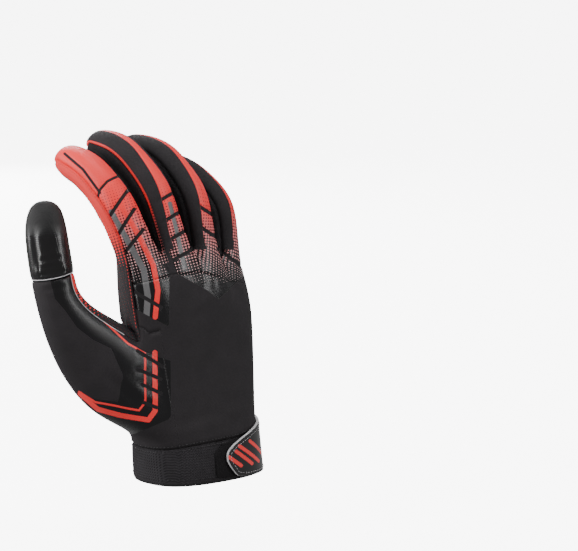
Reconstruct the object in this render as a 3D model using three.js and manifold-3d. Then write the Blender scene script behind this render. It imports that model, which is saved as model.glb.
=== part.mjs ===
// A right-hand football receiver glove that keeps the shape of a relaxed, curled hand.
// Millimetres, +Z towards the fingers, the back of the hand faces -Y, the thumb side is -X.
// The origin is the middle of the wrist opening.
import * as THREE from 'three';
import { mergeVertices } from 'three/addons/utils/BufferGeometryUtils.js';
import Module from 'manifold-3d';

const wasm = await Module();
wasm.setup();

// Driving sizes
const wristBreadth = 79;
const wristDepth = 53;
const knuckleBreadth = 97;
const knuckleDepth = 38;
const palmLength = 113;
const cuffLength = { radial: 22, dorsal: 26, ulnar: 30, palmar: 24 };
const cuffFlare = 1;
const thumbwardLean = 7;
const palmwardLean = 1;
const thumbEdgeDrop = 2;
const outerEdgeDrop = 13;
const fabricThickness = 1.4;
const palmThickness = 1.8;
const cuffThickness = 2.4;
const seamGap = 0.3;
const thumbLength = 123;
const thumbBreadth = 26;
const tabThickness = 2;
const tabClearance = 0.35;
const patchThickness = 1;
const slitWidth = 4;
const slitLength = 22;
const bindingWidth = 2.6;
const bindingThickness = 1.2;

// One finger in a row: free length past the root, section, and the pose of its bones in degrees.
// lean tips it to the thumb side, curl is the slope at each bone.
const fingers = [
  { name: 'index', length: 88, breadth: 25, depth: 26, lean: 21, curl: [8, 38, 76] },
  { name: 'middle', length: 98, breadth: 24.5, depth: 26, lean: 14, curl: [7, 44, 84] },
  { name: 'ring', length: 98, breadth: 24, depth: 25, lean: 7, curl: [5, 44, 84] },
  { name: 'little', length: 92, breadth: 22, depth: 22.5, lean: -2, curl: [5, 50, 76] },
];

// Heights where the fingers part, from the thumb side to the outer side, as shares of palmLength.
const rootHeights = [0.96, 1.0, 0.995, 0.9, 0.84];

// Rings up the palm. height runs from the cuff (0) to the finger roots (1), blend from the wrist's
// section (0) to the knuckles' (1); depth scales the section, valley dents it between the fingers,
// hollow is the palm's dish as a share of knuckleDepth; lean is a share of both leans of the hand
// over the wrist, and arch a share of the drop of both edges.
const palmRings = [
  { height: 0, blend: 0, depth: 1, valley: 0, hollow: 0, lean: 0.3, arch: 0 },
  { height: 0.07, blend: 0.12, depth: 0.98, valley: 0, hollow: 0.02, lean: 0.4, arch: 0.05 },
  { height: 0.33, blend: 0.55, depth: 0.96, valley: 0, hollow: 0.08, lean: 0.6, arch: 0.25 },
  { height: 0.66, blend: 0.88, depth: 0.98, valley: 0, hollow: 0.1, lean: 0.8, arch: 0.5 },
  { height: 0.78, blend: 0.96, depth: 0.98, valley: 0.02, hollow: 0.08, lean: 0.95, arch: 0.7 },
  { height: 0.89, blend: 1, depth: 0.88, valley: 0.12, hollow: 0.03, lean: 1.05, arch: 0.88 },
  { height: 1, blend: 1, depth: 0.7, valley: 0.42, hollow: 0, lean: 1.15, arch: 1 },
];

// Rings along a finger: along is a share of its length, breadth and depth of its section.
const fingerRings = [
  { along: 0.09, breadth: 0.95, depth: 1.02 },
  { along: 0.19, breadth: 0.94, depth: 1.0 },
  { along: 0.29, breadth: 0.95, depth: 0.98 },
  { along: 0.37, breadth: 0.97, depth: 0.98 },
  { along: 0.45, breadth: 0.95, depth: 0.95 },
  { along: 0.55, breadth: 0.92, depth: 0.92 },
  { along: 0.64, breadth: 0.92, depth: 0.91 },
  { along: 0.73, breadth: 0.9, depth: 0.88 },
  { along: 0.84, breadth: 0.87, depth: 0.83 },
  { along: 0.94, breadth: 0.72, depth: 0.68 },
];
const knuckleShares = { first: 0.37, second: 0.66, spread: 0.11 };
const tipBulge = 0.075;
const tipEdgeRise = 0.8;

// Rings along the thumb: out (to the thumb side), forward (to the palm) and up from the middle of
// its root, as shares of thumbLength, with the section as shares of thumbBreadth.
const thumbRings = [
  { out: 0.13, forward: 0.02, up: 0.04, breadth: 2.15, depth: 1.4 },
  { out: 0.2, forward: 0.05, up: 0.13, breadth: 1.95, depth: 1.25 },
  { out: 0.275, forward: 0.08, up: 0.215, breadth: 1.65, depth: 1.12 },
  { out: 0.345, forward: 0.11, up: 0.32, breadth: 1.25, depth: 1.05 },
  { out: 0.385, forward: 0.14, up: 0.43, breadth: 1.0, depth: 1.0 },
  { out: 0.395, forward: 0.155, up: 0.53, breadth: 1.03, depth: 1.0 },
  { out: 0.405, forward: 0.165, up: 0.62, breadth: 1.0, depth: 0.96 },
  { out: 0.415, forward: 0.17, up: 0.71, breadth: 0.98, depth: 0.9 },
  { out: 0.42, forward: 0.175, up: 0.79, breadth: 0.92, depth: 0.8 },
  { out: 0.42, forward: 0.175, up: 0.86, breadth: 0.72, depth: 0.6 },
];
const thumbBack = new THREE.Vector3(-0.55, -0.84, 0.1);
const thumbJointRing = 5;
const thumbTipBulge = 0.05;

// The hand's net of quads: 36 columns round the palm, four over each finger on the back, four on
// the palm, two on each edge.
const columns = 36;
const perFinger = 4;
const across = perFinger * fingers.length;
const ulnarMid = across + 1;
const radialMid = columns - 1;
const sectionRoundness = 2.6;
const cornerShare = 0.93;

const vertices = [];
const faces = [];

function addVertex(point) {
  vertices.push(point);
  return vertices.length - 1;
}

function addFace(a, b, c, d, panel) {
  faces.push({ corners: [a, b, c, d], panel });
}

// Where a column lies across the hand: -1 on the thumb edge, 1 on the outer edge, and its side.
function columnPlace(column) {
  if (column <= across) return { share: (2 * column / across - 1) * cornerShare, side: -1, step: column };
  if (column === ulnarMid) return { share: 1, side: 0, step: across };
  if (column === radialMid) return { share: -1, side: 0, step: 0 };
  const step = columns - 2 - column;
  return { share: (2 * step / across - 1) * cornerShare, side: 1, step };
}

function seamHeight(share, side) {
  const edge = share * share;
  const edgeHeight = share < 0 ? cuffLength.radial : cuffLength.ulnar;
  const middle = (cuffLength.dorsal + cuffLength.palmar) / 2 + side * (cuffLength.palmar - cuffLength.dorsal) / 2;
  return edge * edgeHeight + (1 - edge) * middle;
}

function rootHeight(step) {
  const place = step / perFinger;
  const low = Math.min(Math.floor(place), rootHeights.length - 2);
  return THREE.MathUtils.lerp(rootHeights[low], rootHeights[low + 1], place - low) * palmLength;
}

// How far the arch of the knuckles drops towards the palm at a share across, and its slope.
function archDrop(share) {
  return (share < 0 ? thumbEdgeDrop : outerEdgeDrop) * share * share;
}

function archSlope(share, amount) {
  const drop = share < 0 ? thumbEdgeDrop : outerEdgeDrop;
  return Math.atan(2 * amount * drop * share / (knuckleBreadth / 2));
}

function palmPoint(ring, column) {
  const { share, side, step } = columnPlace(column);
  const breadth = THREE.MathUtils.lerp(wristBreadth, knuckleBreadth, ring.blend);
  const depth = THREE.MathUtils.lerp(wristDepth, knuckleDepth, ring.blend) * ring.depth;
  const round = Math.pow(1 - Math.pow(Math.abs(share), sectionRoundness), 1 / sectionRoundness);
  const between = side !== 0 && step % perFinger === 0 && step > 0 && step < across;
  const dent = between ? 1 - ring.valley : 1;
  const dish = side > 0 ? ring.hollow * knuckleDepth * (1 - share * share) : 0;
  const start = seamHeight(share, side);
  const top = cuffLength.dorsal + rootHeight(step);
  const half = side * (round * dent * depth / 2 - dish);
  const slope = archSlope(share, ring.arch);
  return new THREE.Vector3(
    share * breadth / 2 - half * Math.sin(slope) - ring.lean * thumbwardLean,
    half * Math.cos(slope) + ring.arch * archDrop(share) + ring.lean * palmwardLean,
    THREE.MathUtils.lerp(start, top, ring.height),
  );
}

function addRing(makePoint) {
  return Array.from({ length: columns }, (_, column) => addVertex(makePoint(column)));
}

// Cuff rings, from the wrist's edge up to the seam.
const cuffSteps = [0, 0.5, 1];
const seamRing = palmRings[0];
const cuffRings = cuffSteps.slice(0, -1).map((level) => addRing((column) => {
  const point = palmPoint({ ...seamRing, lean: seamRing.lean * level }, column);
  const spread = 1 + (1 - level) * 2 * cuffFlare / wristBreadth;
  return new THREE.Vector3(point.x * spread, point.y * spread, point.z * level);
}));
const bodyRings = palmRings.map((ring) => addRing((column) => palmPoint(ring, column)));
const lastRing = bodyRings[bodyRings.length - 1];

// The thumb grows out of a hole two rows high, from the palm's first column round to the back's.
const thumbRows = [1, 2, 3];
const thumbColumns = [radialMid - 2, radialMid - 1, radialMid, 0];
const backBorder = 1;

function bodyPanel(row, column) {
  const nearThumb = column >= radialMid - 1 || column <= backBorder;
  if (row < thumbRows[0] && nearThumb) return 'thumb_back';
  if (row < thumbRows[2] && column === backBorder) return 'thumb_back';
  if (column >= radialMid - 1) return 'radial_gusset';
  if (column < across) {
    if (row < palmRings.length - 2) return 'hand_back';
    return `${fingers[Math.floor(column / perFinger)].name}_back`;
  }
  return column < across + 2 ? 'ulnar_panel' : 'palm_panel';
}

function joinRings(lower, upper, row, panelOf, skip = () => false) {
  for (let column = 0; column < lower.length; column += 1) {
    if (skip(row, column)) continue;
    const next = (column + 1) % lower.length;
    addFace(lower[column], lower[next], upper[next], upper[column], panelOf(row, column));
  }
}

joinRings(cuffRings[0], cuffRings[1], 0, () => 'cuff_band');
joinRings(cuffRings[1], bodyRings[0], 0, () => 'cuff_band');
const inThumbHole = (row, column) => row >= thumbRows[0] && row < thumbRows[2] && thumbColumns.includes(column);
for (let row = 0; row < bodyRings.length - 1; row += 1) {
  joinRings(bodyRings[row], bodyRings[row + 1], row, bodyPanel, inThumbHole);
}

// A closed ring of twelve points round an axis: back 0 to 4, side 5, front 6 to 10, side 11.
const ringSize = 12;
const ringStep = 2 * Math.PI / ringSize;
const ringStart = Math.PI - ringStep;
function sectionPoint(centre, side, back, breadth, depth, index) {
  const angle = ringStart - ringStep * index;
  return centre.clone()
    .addScaledVector(side, Math.cos(angle) * breadth / 2)
    .addScaledVector(back, Math.sin(angle) * depth / 2);
}

function middleOf(ring) {
  const sum = new THREE.Vector3();
  ring.forEach((index) => sum.add(vertices[index]));
  return sum.divideScalar(ring.length);
}

// Closes a tube with four by two quads, bulged along its axis.
function addTip(ring, axis, bulge, backPanel, frontPanel) {
  const middle = [ring[11]];
  for (let step = 1; step < 4; step += 1) {
    const back = vertices[ring[step]];
    const front = vertices[ring[10 - step]];
    const rise = step === 2 ? 1 : tipEdgeRise;
    middle.push(addVertex(back.clone().add(front).multiplyScalar(0.5).addScaledVector(axis, bulge * rise)));
  }
  middle.push(ring[5]);
  for (let step = 0; step < 4; step += 1) {
    addFace(ring[step], ring[step + 1], middle[step + 1], middle[step], backPanel);
    addFace(middle[step], middle[step + 1], ring[9 - step], ring[10 - step], frontPanel);
  }
}

// Crotches: one point inside the web between each pair of fingers.
const webs = fingers.slice(0, -1).map((_, index) => {
  const step = (index + 1) * perFinger;
  const back = vertices[lastRing[step]];
  const front = vertices[lastRing[columns - 2 - step]];
  return addVertex(back.clone().add(front).multiplyScalar(0.5));
});

function fingerBase(index) {
  const first = index * perFinger;
  const ring = [];
  for (let step = 0; step <= perFinger; step += 1) ring.push(lastRing[first + step]);
  ring.push(index < webs.length ? webs[index] : lastRing[ulnarMid]);
  for (let step = 0; step <= perFinger; step += 1) ring.push(lastRing[columns - 2 - first - perFinger + step]);
  ring.push(index > 0 ? webs[index - 1] : lastRing[radialMid]);
  return ring;
}

function fingerPanel(index, column) {
  if (column < 4) return `${fingers[index].name}_back`;
  if (column >= 6 && column < 10) return 'palm_panel';
  const outer = column < 6;
  if (outer && index === fingers.length - 1) return 'ulnar_panel';
  if (!outer && index === 0) return 'radial_gusset';
  const thumbSide = outer ? index : index - 1;
  return `${fingers[thumbSide].name}_${fingers[thumbSide + 1].name}_fourchette`;
}

// The slope of a finger at a share of its length, eased through its two joints.
function slopeAt(finger, along) {
  const ease = (centre) => THREE.MathUtils.smoothstep(along, centre - knuckleShares.spread, centre + knuckleShares.spread);
  const [first, second, third] = finger.curl;
  return first + (second - first) * ease(knuckleShares.first) + (third - second) * ease(knuckleShares.second);
}

const pathSteps = 200;
function fingerFrames(finger, index, start) {
  const roll = archSlope((2 * index + 1) / fingers.length - 1, 1);
  const lean = THREE.MathUtils.degToRad(finger.lean);
  const flat = new THREE.Vector3(Math.cos(roll), Math.sin(roll), 0);
  const back = new THREE.Vector3(Math.sin(roll), -Math.cos(roll), 0);
  const up = new THREE.Vector3(0, 0, 1);
  const rise = up.clone().multiplyScalar(Math.cos(lean)).addScaledVector(flat, -Math.sin(lean));
  const side = flat.clone().multiplyScalar(Math.cos(lean)).addScaledVector(up, Math.sin(lean));
  const point = start.clone();
  const frames = [];
  for (let step = 0; step <= pathSteps; step += 1) {
    const along = step / pathSteps;
    const slope = THREE.MathUtils.degToRad(slopeAt(finger, along));
    const axis = rise.clone().multiplyScalar(Math.cos(slope)).addScaledVector(back, -Math.sin(slope));
    const normal = back.clone().multiplyScalar(Math.cos(slope)).addScaledVector(rise, Math.sin(slope));
    frames.push({ centre: point.clone(), axis, side, normal });
    point.addScaledVector(axis, finger.length / pathSteps);
  }
  return frames;
}

fingers.forEach((finger, index) => {
  let ring = fingerBase(index);
  const frames = fingerFrames(finger, index, middleOf(ring));
  const panelOf = (_, column) => fingerPanel(index, column);
  fingerRings.forEach((entry) => {
    const frame = frames[Math.round(entry.along * pathSteps)];
    const breadth = entry.breadth * finger.breadth;
    const depth = entry.depth * finger.depth;
    const next = Array.from({ length: ringSize }, (_, place) => addVertex(
      sectionPoint(frame.centre, frame.side, frame.normal, breadth, depth, place),
    ));
    joinRings(ring, next, 0, panelOf);
    ring = next;
  });
  addTip(ring, frames[pathSteps].axis, tipBulge * finger.length, `${finger.name}_back`, 'palm_panel');
});

// The thumb's root, in the ring order of a finger: back, web side, front, outer side.
const [rowLow, rowMid, rowTop] = thumbRows;
const [frontEdge, frontNear, edgeMid, backNear] = thumbColumns;
const backEdge = backBorder;
const thumbRoot = [
  bodyRings[rowLow][backNear], bodyRings[rowLow][backEdge], bodyRings[rowMid][backEdge],
  bodyRings[rowTop][backEdge], bodyRings[rowTop][backNear], bodyRings[rowTop][edgeMid],
  bodyRings[rowTop][frontNear], bodyRings[rowTop][frontEdge], bodyRings[rowMid][frontEdge],
  bodyRings[rowLow][frontEdge], bodyRings[rowLow][frontNear], bodyRings[rowLow][edgeMid],
];

function thumbPanel(row, column) {
  if (row > thumbJointRing) return 'thumb_cap';
  if (column < 4 || column > 9) return 'thumb_back';
  return column < 6 ? 'radial_gusset' : 'thumb_front';
}

const thumbStart = middleOf(thumbRoot);
const thumbCentre = (ring) => thumbStart.clone()
  .add(new THREE.Vector3(-ring.out, ring.forward, ring.up).multiplyScalar(thumbLength));
let thumbRing = thumbRoot;
let thumbAxis = new THREE.Vector3(-1, 0, 0);
thumbRings.forEach((entry, row) => {
  const centre = thumbCentre(entry);
  const before = row === 0 ? thumbStart : thumbCentre(thumbRings[row - 1]);
  const after = row === thumbRings.length - 1 ? centre : thumbCentre(thumbRings[row + 1]);
  thumbAxis = after.clone().sub(before).normalize();
  const back = thumbBack.clone().addScaledVector(thumbAxis, -thumbBack.dot(thumbAxis)).normalize();
  const side = thumbAxis.clone().cross(back);
  const next = Array.from({ length: ringSize }, (_, place) => addVertex(
    sectionPoint(centre, side, back, entry.breadth * thumbBreadth, entry.depth * thumbBreadth, place),
  ));
  joinRings(thumbRing, next, row, thumbPanel);
  thumbRing = next;
});
addTip(thumbRing, thumbAxis, thumbTipBulge * thumbLength, 'thumb_cap', 'thumb_cap');

// The smooth surface's own points: the limit of subdividing the net.
function limitPoints() {
  const around = vertices.map(() => ({ edges: new Map(), opposite: [] }));
  faces.forEach(({ corners }) => corners.forEach((vertex, place) => {
    const next = corners[(place + 1) % 4];
    const last = corners[(place + 3) % 4];
    around[vertex].opposite.push(corners[(place + 2) % 4]);
    [next, last].forEach((other) => around[vertex].edges.set(other, (around[vertex].edges.get(other) || 0) + 1));
  }));
  return vertices.map((point, vertex) => {
    const { edges, opposite } = around[vertex];
    const open = [...edges].filter(([, uses]) => uses === 1).map(([other]) => other);
    const sum = new THREE.Vector3();
    if (open.length > 0) {
      open.forEach((other) => sum.add(vertices[other]));
      return sum.addScaledVector(point, 4).divideScalar(6);
    }
    const valence = opposite.length;
    edges.forEach((_, other) => sum.addScaledVector(vertices[other], 4));
    opposite.forEach((other) => sum.add(vertices[other]));
    return sum.addScaledVector(point, valence * valence).divideScalar(valence * (valence + 5));
  });
}
const surface = limitPoints();

function faceNormal(corners) {
  const [a, b, c, d] = corners.map((corner) => surface[corner]);
  return c.clone().sub(a).cross(d.clone().sub(b)).normalize();
}
const normals = vertices.map(() => new THREE.Vector3());
faces.forEach(({ corners }) => {
  const normal = faceNormal(corners);
  corners.forEach((corner) => normals[corner].add(normal));
});
normals.forEach((normal) => normal.normalize());

function geometryFrom(points, triangles) {
  const geometry = new THREE.BufferGeometry();
  geometry.setAttribute('position', new THREE.Float32BufferAttribute(points.flatMap((p) => p.toArray()), 3));
  geometry.setIndex(triangles.flat());
  geometry.computeVertexNormals();
  return geometry;
}

// A panel is a sheet of its own thickness, drawn in from its neighbours by half the seam gap.
function panelGeometry(panel, thickness) {
  const own = faces.filter((face) => face.panel === panel);
  const edgeUse = new Map();
  own.forEach(({ corners }) => corners.forEach((a, place) => {
    const b = corners[(place + 1) % 4];
    const key = Math.min(a, b) * vertices.length + Math.max(a, b);
    edgeUse.set(key, (edgeUse.get(key) || 0) + 1);
  }));
  const used = [...new Set(own.flatMap((face) => face.corners))];
  const place = new Map(used.map((vertex, index) => [vertex, index]));
  const inward = used.map(() => []);
  const border = [];
  own.forEach(({ corners }) => corners.forEach((a, corner) => {
    const b = corners[(corner + 1) % 4];
    const key = Math.min(a, b) * vertices.length + Math.max(a, b);
    if (edgeUse.get(key) > 1) return;
    border.push([a, b]);
    [a, b].forEach((vertex) => {
      const along = surface[b].clone().sub(surface[a]).normalize();
      inward[place.get(vertex)].push(normals[vertex].clone().cross(along).normalize());
    });
  }));
  const outer = used.map((vertex, index) => {
    const ways = inward[index];
    const point = surface[vertex].clone();
    if (ways.length === 0) return point;
    const way = ways.reduce((sum, each) => sum.add(each), new THREE.Vector3()).normalize();
    const facing = Math.max(0.5, way.dot(ways[0]));
    return point.addScaledVector(way, seamGap / 2 / facing);
  });
  const inner = outer.map((point, index) => point.clone().addScaledVector(normals[used[index]], -thickness));
  const count = used.length;
  const triangles = [];
  const quad = (a, b, c, d) => triangles.push([a, b, c], [a, c, d]);
  own.forEach(({ corners }) => {
    const [a, b, c, d] = corners.map((corner) => place.get(corner));
    quad(a, b, c, d);
    quad(count + d, count + c, count + b, count + a);
  });
  border.forEach(([start, end]) => {
    const a = place.get(start);
    const b = place.get(end);
    if (start < end) quad(b, a, count + a, count + b);
    else quad(a, count + a, count + b, b);
  });
  return geometryFrom([...outer, ...inner], triangles);
}

// Strips that lie on the glove: the point on a column of the surface at a height, and its normal.
const columnLines = Array.from({ length: columns }, (_, column) => (
  [...cuffRings, ...bodyRings].map((ring) => ring[column])
));
function onSurface(column, height, lift) {
  const low = ((Math.floor(column) % columns) + columns) % columns;
  const share = column - Math.floor(column);
  const at = (line) => {
    let step = 0;
    while (step < line.length - 2 && surface[line[step + 1]].z < height) step += 1;
    const [a, b] = [surface[line[step]], surface[line[step + 1]]];
    const part = (height - a.z) / (b.z - a.z);
    const normal = normals[line[step]].clone().lerp(normals[line[step + 1]], THREE.MathUtils.clamp(part, 0, 1));
    return { point: a.clone().lerp(b, part), normal };
  };
  const first = at(columnLines[low]);
  const second = at(columnLines[(low + 1) % columns]);
  const normal = first.normal.lerp(second.normal, share);
  normal.z = 0;
  return first.point.lerp(second.point, share).addScaledVector(normal.normalize(), lift);
}

// A plate that follows the surface: rows run along its length, each with a low and a high edge.
function plateGeometry(rows, levels, thickness) {
  const points = [];
  const wide = levels + 1;
  [thickness, 0].forEach((extra) => rows.forEach(({ column, low, high, lift }) => {
    for (let level = 0; level < wide; level += 1) {
      points.push(onSurface(column, THREE.MathUtils.lerp(low, high, level / levels), lift + extra));
    }
  }));
  const count = rows.length * wide;
  const index = (row, level) => row * wide + level;
  const triangles = [];
  const quad = (a, b, c, d) => triangles.push([a, b, c], [a, c, d]);
  for (let row = 0; row < rows.length - 1; row += 1) {
    for (let level = 0; level < levels; level += 1) {
      const [a, b, c, d] = [index(row, level), index(row + 1, level), index(row + 1, level + 1), index(row, level + 1)];
      quad(a, b, c, d);
      quad(count + d, count + c, count + b, count + a);
    }
    const [lowA, lowB] = [index(row, 0), index(row + 1, 0)];
    const [highA, highB] = [index(row, levels), index(row + 1, levels)];
    quad(lowB, lowA, count + lowA, count + lowB);
    quad(highA, highB, count + highB, count + highA);
  }
  for (let level = 0; level < levels; level += 1) {
    const [startA, startB] = [index(0, level), index(0, level + 1)];
    const [endA, endB] = [index(rows.length - 1, level), index(rows.length - 1, level + 1)];
    quad(startA, startB, count + startB, count + startA);
    quad(endB, endA, count + endA, count + endB);
  }
  return geometryFrom(points, triangles);
}

// The pull tab from its end on the back, round the outer edge, to its sewn end on the palm.
// low and high are its edges as shares of the cuff's length there, and rise is how much of the
// patch's thickness it climbs.
const tabTop = 1.14;
const tabRows = [
  { column: 8.2, low: 0.5, high: 0.62, rise: 1 },
  { column: 8.5, low: 0.38, high: 0.74, rise: 1 },
  { column: 9.5, low: 0.12, high: 0.86, rise: 1 },
  { column: 11, low: 0.06, high: 0.96, rise: 0.9 },
  { column: 13, low: 0.05, high: 1.04, rise: 0.7 },
  { column: 15, low: 0.05, high: 1.1, rise: 0.5 },
  { column: 16, low: 0.05, high: 1.12, rise: 0.4 },
  { column: 17, low: 0.05, high: tabTop, rise: 0.3 },
  { column: 18, low: 0.05, high: 1.12, rise: 0.2 },
  { column: 20, low: 0.05, high: 1.06, rise: 0.1 },
  { column: 21.4, low: 0.06, high: 0.98, rise: 0 },
  { column: 21.9, low: 0.1, high: 0.86, rise: 0 },
];
const patchRows = [
  { column: 6.6, low: 0.14, high: 0.7 },
  { column: 8, low: 0.1, high: 0.9 },
  { column: 10, low: 0.1, high: 0.94 },
  { column: 12, low: 0.1, high: 0.94 },
];
function cuffSpan(column) {
  const { share, side } = columnPlace(Math.round(column) % columns);
  return seamHeight(share, side);
}
const tabLift = patchThickness + tabClearance;
function everyColumn(rows) {
  const filled = [rows[0]];
  rows.slice(1).forEach((row, index) => {
    const last = rows[index];
    for (let column = Math.floor(last.column) + 1; column < row.column; column += 1) {
      const share = (column - last.column) / (row.column - last.column);
      const mixed = {};
      Object.keys(row).forEach((key) => { mixed[key] = THREE.MathUtils.lerp(last[key], row[key], share); });
      filled.push(mixed);
    }
    filled.push(row);
  });
  return filled;
}
const tabPlate = everyColumn(tabRows).map(({ column, low, high, rise }) => ({
  column, low: low * cuffSpan(column), high: high * cuffSpan(column), lift: tabClearance + rise * tabLift,
}));
const patchPlate = everyColumn(patchRows).map(({ column, low, high }) => ({
  column, low: low * cuffSpan(column), high: high * cuffSpan(column), lift: tabClearance,
}));

function toManifold(geometry) {
  const mesh = new wasm.Mesh({
    numProp: 3,
    vertProperties: new Float32Array(geometry.attributes.position.array),
    triVerts: new Uint32Array(geometry.index.array),
  });
  return new wasm.Manifold(mesh);
}

function fromManifold(solid) {
  const mesh = solid.getMesh();
  const geometry = new THREE.BufferGeometry();
  geometry.setAttribute('position', new THREE.BufferAttribute(new Float32Array(mesh.vertProperties), 3));
  geometry.setIndex(new THREE.BufferAttribute(new Uint32Array(mesh.triVerts), 1));
  geometry.computeVertexNormals();
  return geometry;
}

// The slit in the outer panel above the tab: a prism with a round top, seen from outside, that
// reaches this many cloth thicknesses through the wall.
const slitCutReach = 11;
const slitFoot = cuffLength.ulnar * tabTop + seamGap + bindingWidth;
const slitMiddle = slitFoot + slitLength / 2;
function slitCutter() {
  const middle = onSurface(ulnarMid, slitMiddle, 0);
  const out = onSurface(ulnarMid, slitMiddle, 1).sub(middle);
  const half = slitWidth / 2;
  const outline = new THREE.Shape();
  outline.moveTo(-half, -slitLength / 2);
  outline.lineTo(half, -slitLength / 2);
  outline.lineTo(half, slitLength / 2 - half);
  outline.absarc(0, slitLength / 2 - half, half, 0, Math.PI, false);
  outline.lineTo(-half, -slitLength / 2);
  const reach = slitCutReach * fabricThickness;
  const prism = new THREE.ExtrudeGeometry(outline, { depth: reach, bevelEnabled: false, curveSegments: 8 });
  prism.translate(0, 0, -reach / 2);
  const up = new THREE.Vector3(0, 0, 1);
  const turn = new THREE.Matrix4().makeBasis(up.clone().cross(out), up, out);
  prism.applyMatrix4(turn);
  prism.translate(middle.x, middle.y, middle.z);
  return prism;
}

function weld(geometry) {
  geometry.deleteAttribute('normal');
  geometry.deleteAttribute('uv');
  return mergeVertices(geometry, 1e-4);
}

const slit = toManifold(weld(slitCutter()));
const slitPanel = fromManifold(toManifold(panelGeometry('ulnar_panel', fabricThickness)).subtract(slit));

// The binding is a raised rim round the slit, as wide as bindingWidth.
function bindingGeometry() {
  const points = [];
  const half = slitWidth / 2;
  const arc = 8;
  const spine = [[half, -slitLength / 2, 1, 0]];
  for (let step = 0; step <= arc; step += 1) {
    const angle = Math.PI * step / arc;
    spine.push([half * Math.cos(angle), slitLength / 2 - half + half * Math.sin(angle), Math.cos(angle), Math.sin(angle)]);
  }
  spine.push([-half, -slitLength / 2, -1, 0]);
  const nearRow = cuffRings.length;
  const columnWidth = surface[columnLines[across][nearRow]].distanceTo(surface[columnLines[ulnarMid][nearRow]]);
  spine.forEach(([acrossSlit, up, wayX, wayY]) => {
    [0, bindingWidth].forEach((wide) => [seamGap, seamGap + bindingThickness].forEach((lift) => {
      const x = acrossSlit + wayX * wide;
      points.push(onSurface(ulnarMid + x / columnWidth, slitMiddle + up + wayY * wide, lift));
    }));
  });
  const triangles = [];
  const quad = (a, b, c, d) => triangles.push([a, b, c], [a, c, d]);
  const last = spine.length - 1;
  for (let step = 0; step < last; step += 1) {
    const a = step * 4;
    const b = a + 4;
    quad(a + 1, a + 3, b + 3, b + 1);
    quad(a, b, b + 2, a + 2);
    quad(a, a + 1, b + 1, b);
    quad(a + 3, a + 2, b + 2, b + 3);
  }
  quad(0, 2, 3, 1);
  quad(last * 4, last * 4 + 1, last * 4 + 3, last * 4 + 2);
  return geometryFrom(points, triangles);
}

const looks = {
  stretch: { color: 0x2b262b, roughness: 0.85, metalness: 0 },
  film: { color: 0xe8504f, roughness: 0.35, metalness: 0 },
  silicone: { color: 0x0e0c0e, roughness: 0.3, metalness: 0 },
  coral: { color: 0xfa5452, roughness: 0.7, metalness: 0 },
  cuff: { color: 0x2d2a2e, roughness: 0.9, metalness: 0 },
  gloss: { color: 0x0b0a0c, roughness: 0.2, metalness: 0 },
};

const glove = new THREE.Group();
function addPiece(name, geometry, look) {
  const mesh = new THREE.Mesh(geometry, new THREE.MeshStandardMaterial(looks[look]));
  mesh.name = name;
  glove.add(mesh);
}

addPiece('palm_panel', panelGeometry('palm_panel', palmThickness), 'silicone');
addPiece('hand_back', panelGeometry('hand_back', fabricThickness), 'stretch');
fingers.forEach(({ name }) => addPiece(`${name}_back`, panelGeometry(`${name}_back`, fabricThickness), 'film'));
fingers.slice(1).forEach(({ name }, index) => {
  const fourchette = `${fingers[index].name}_${name}_fourchette`;
  addPiece(fourchette, panelGeometry(fourchette, fabricThickness), 'stretch');
});
addPiece('radial_gusset', panelGeometry('radial_gusset', fabricThickness), 'coral');
addPiece('ulnar_panel', slitPanel, 'stretch');
addPiece('slit_binding', bindingGeometry(), 'stretch');
addPiece('thumb_back', panelGeometry('thumb_back', fabricThickness), 'stretch');
addPiece('thumb_front', panelGeometry('thumb_front', palmThickness), 'silicone');
addPiece('thumb_cap', panelGeometry('thumb_cap', palmThickness), 'silicone');
addPiece('cuff_band', panelGeometry('cuff_band', cuffThickness), 'cuff');
addPiece('hook_patch', plateGeometry(patchPlate, 4, patchThickness), 'gloss');
addPiece('closure_tab', plateGeometry(tabPlate, 5, tabThickness), 'gloss');

export default glove;
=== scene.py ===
import math

import bmesh
import bpy
import numpy as np
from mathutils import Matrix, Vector
from mathutils.bvhtree import BVHTree


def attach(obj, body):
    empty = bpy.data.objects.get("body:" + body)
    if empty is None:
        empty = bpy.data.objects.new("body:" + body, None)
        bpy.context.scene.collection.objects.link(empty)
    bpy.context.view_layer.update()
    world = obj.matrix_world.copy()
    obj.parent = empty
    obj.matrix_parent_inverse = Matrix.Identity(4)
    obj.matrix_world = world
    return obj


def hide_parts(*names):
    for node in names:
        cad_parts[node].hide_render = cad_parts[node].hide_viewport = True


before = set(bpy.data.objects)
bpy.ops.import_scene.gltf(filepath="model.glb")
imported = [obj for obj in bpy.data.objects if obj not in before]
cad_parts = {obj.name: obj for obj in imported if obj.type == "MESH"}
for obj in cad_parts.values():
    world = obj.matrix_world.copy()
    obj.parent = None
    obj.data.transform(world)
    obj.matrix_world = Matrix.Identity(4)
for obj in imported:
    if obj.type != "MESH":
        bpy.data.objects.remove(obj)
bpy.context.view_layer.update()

# The hand's form. The glove is cut to a relaxed, curled hand, so one net of quads holds the cuff,
# the palm, four fingers and the thumb, and every cloth panel is a patch of it. Lengths are in
# millimetres, +Z towards the fingers, the back of the hand faces -Y.
MM = 0.001
wrist_breadth, wrist_depth = 79, 53
knuckle_breadth, knuckle_depth = 97, 38
palm_length = 113
cuff_length = {"radial": 22, "dorsal": 26, "ulnar": 30, "palmar": 24}
cuff_flare = 1
thumbward_lean, palmward_lean = 7, 1
thumb_edge_drop, outer_edge_drop = 2, 13
thumb_length, thumb_breadth = 123, 26
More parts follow.
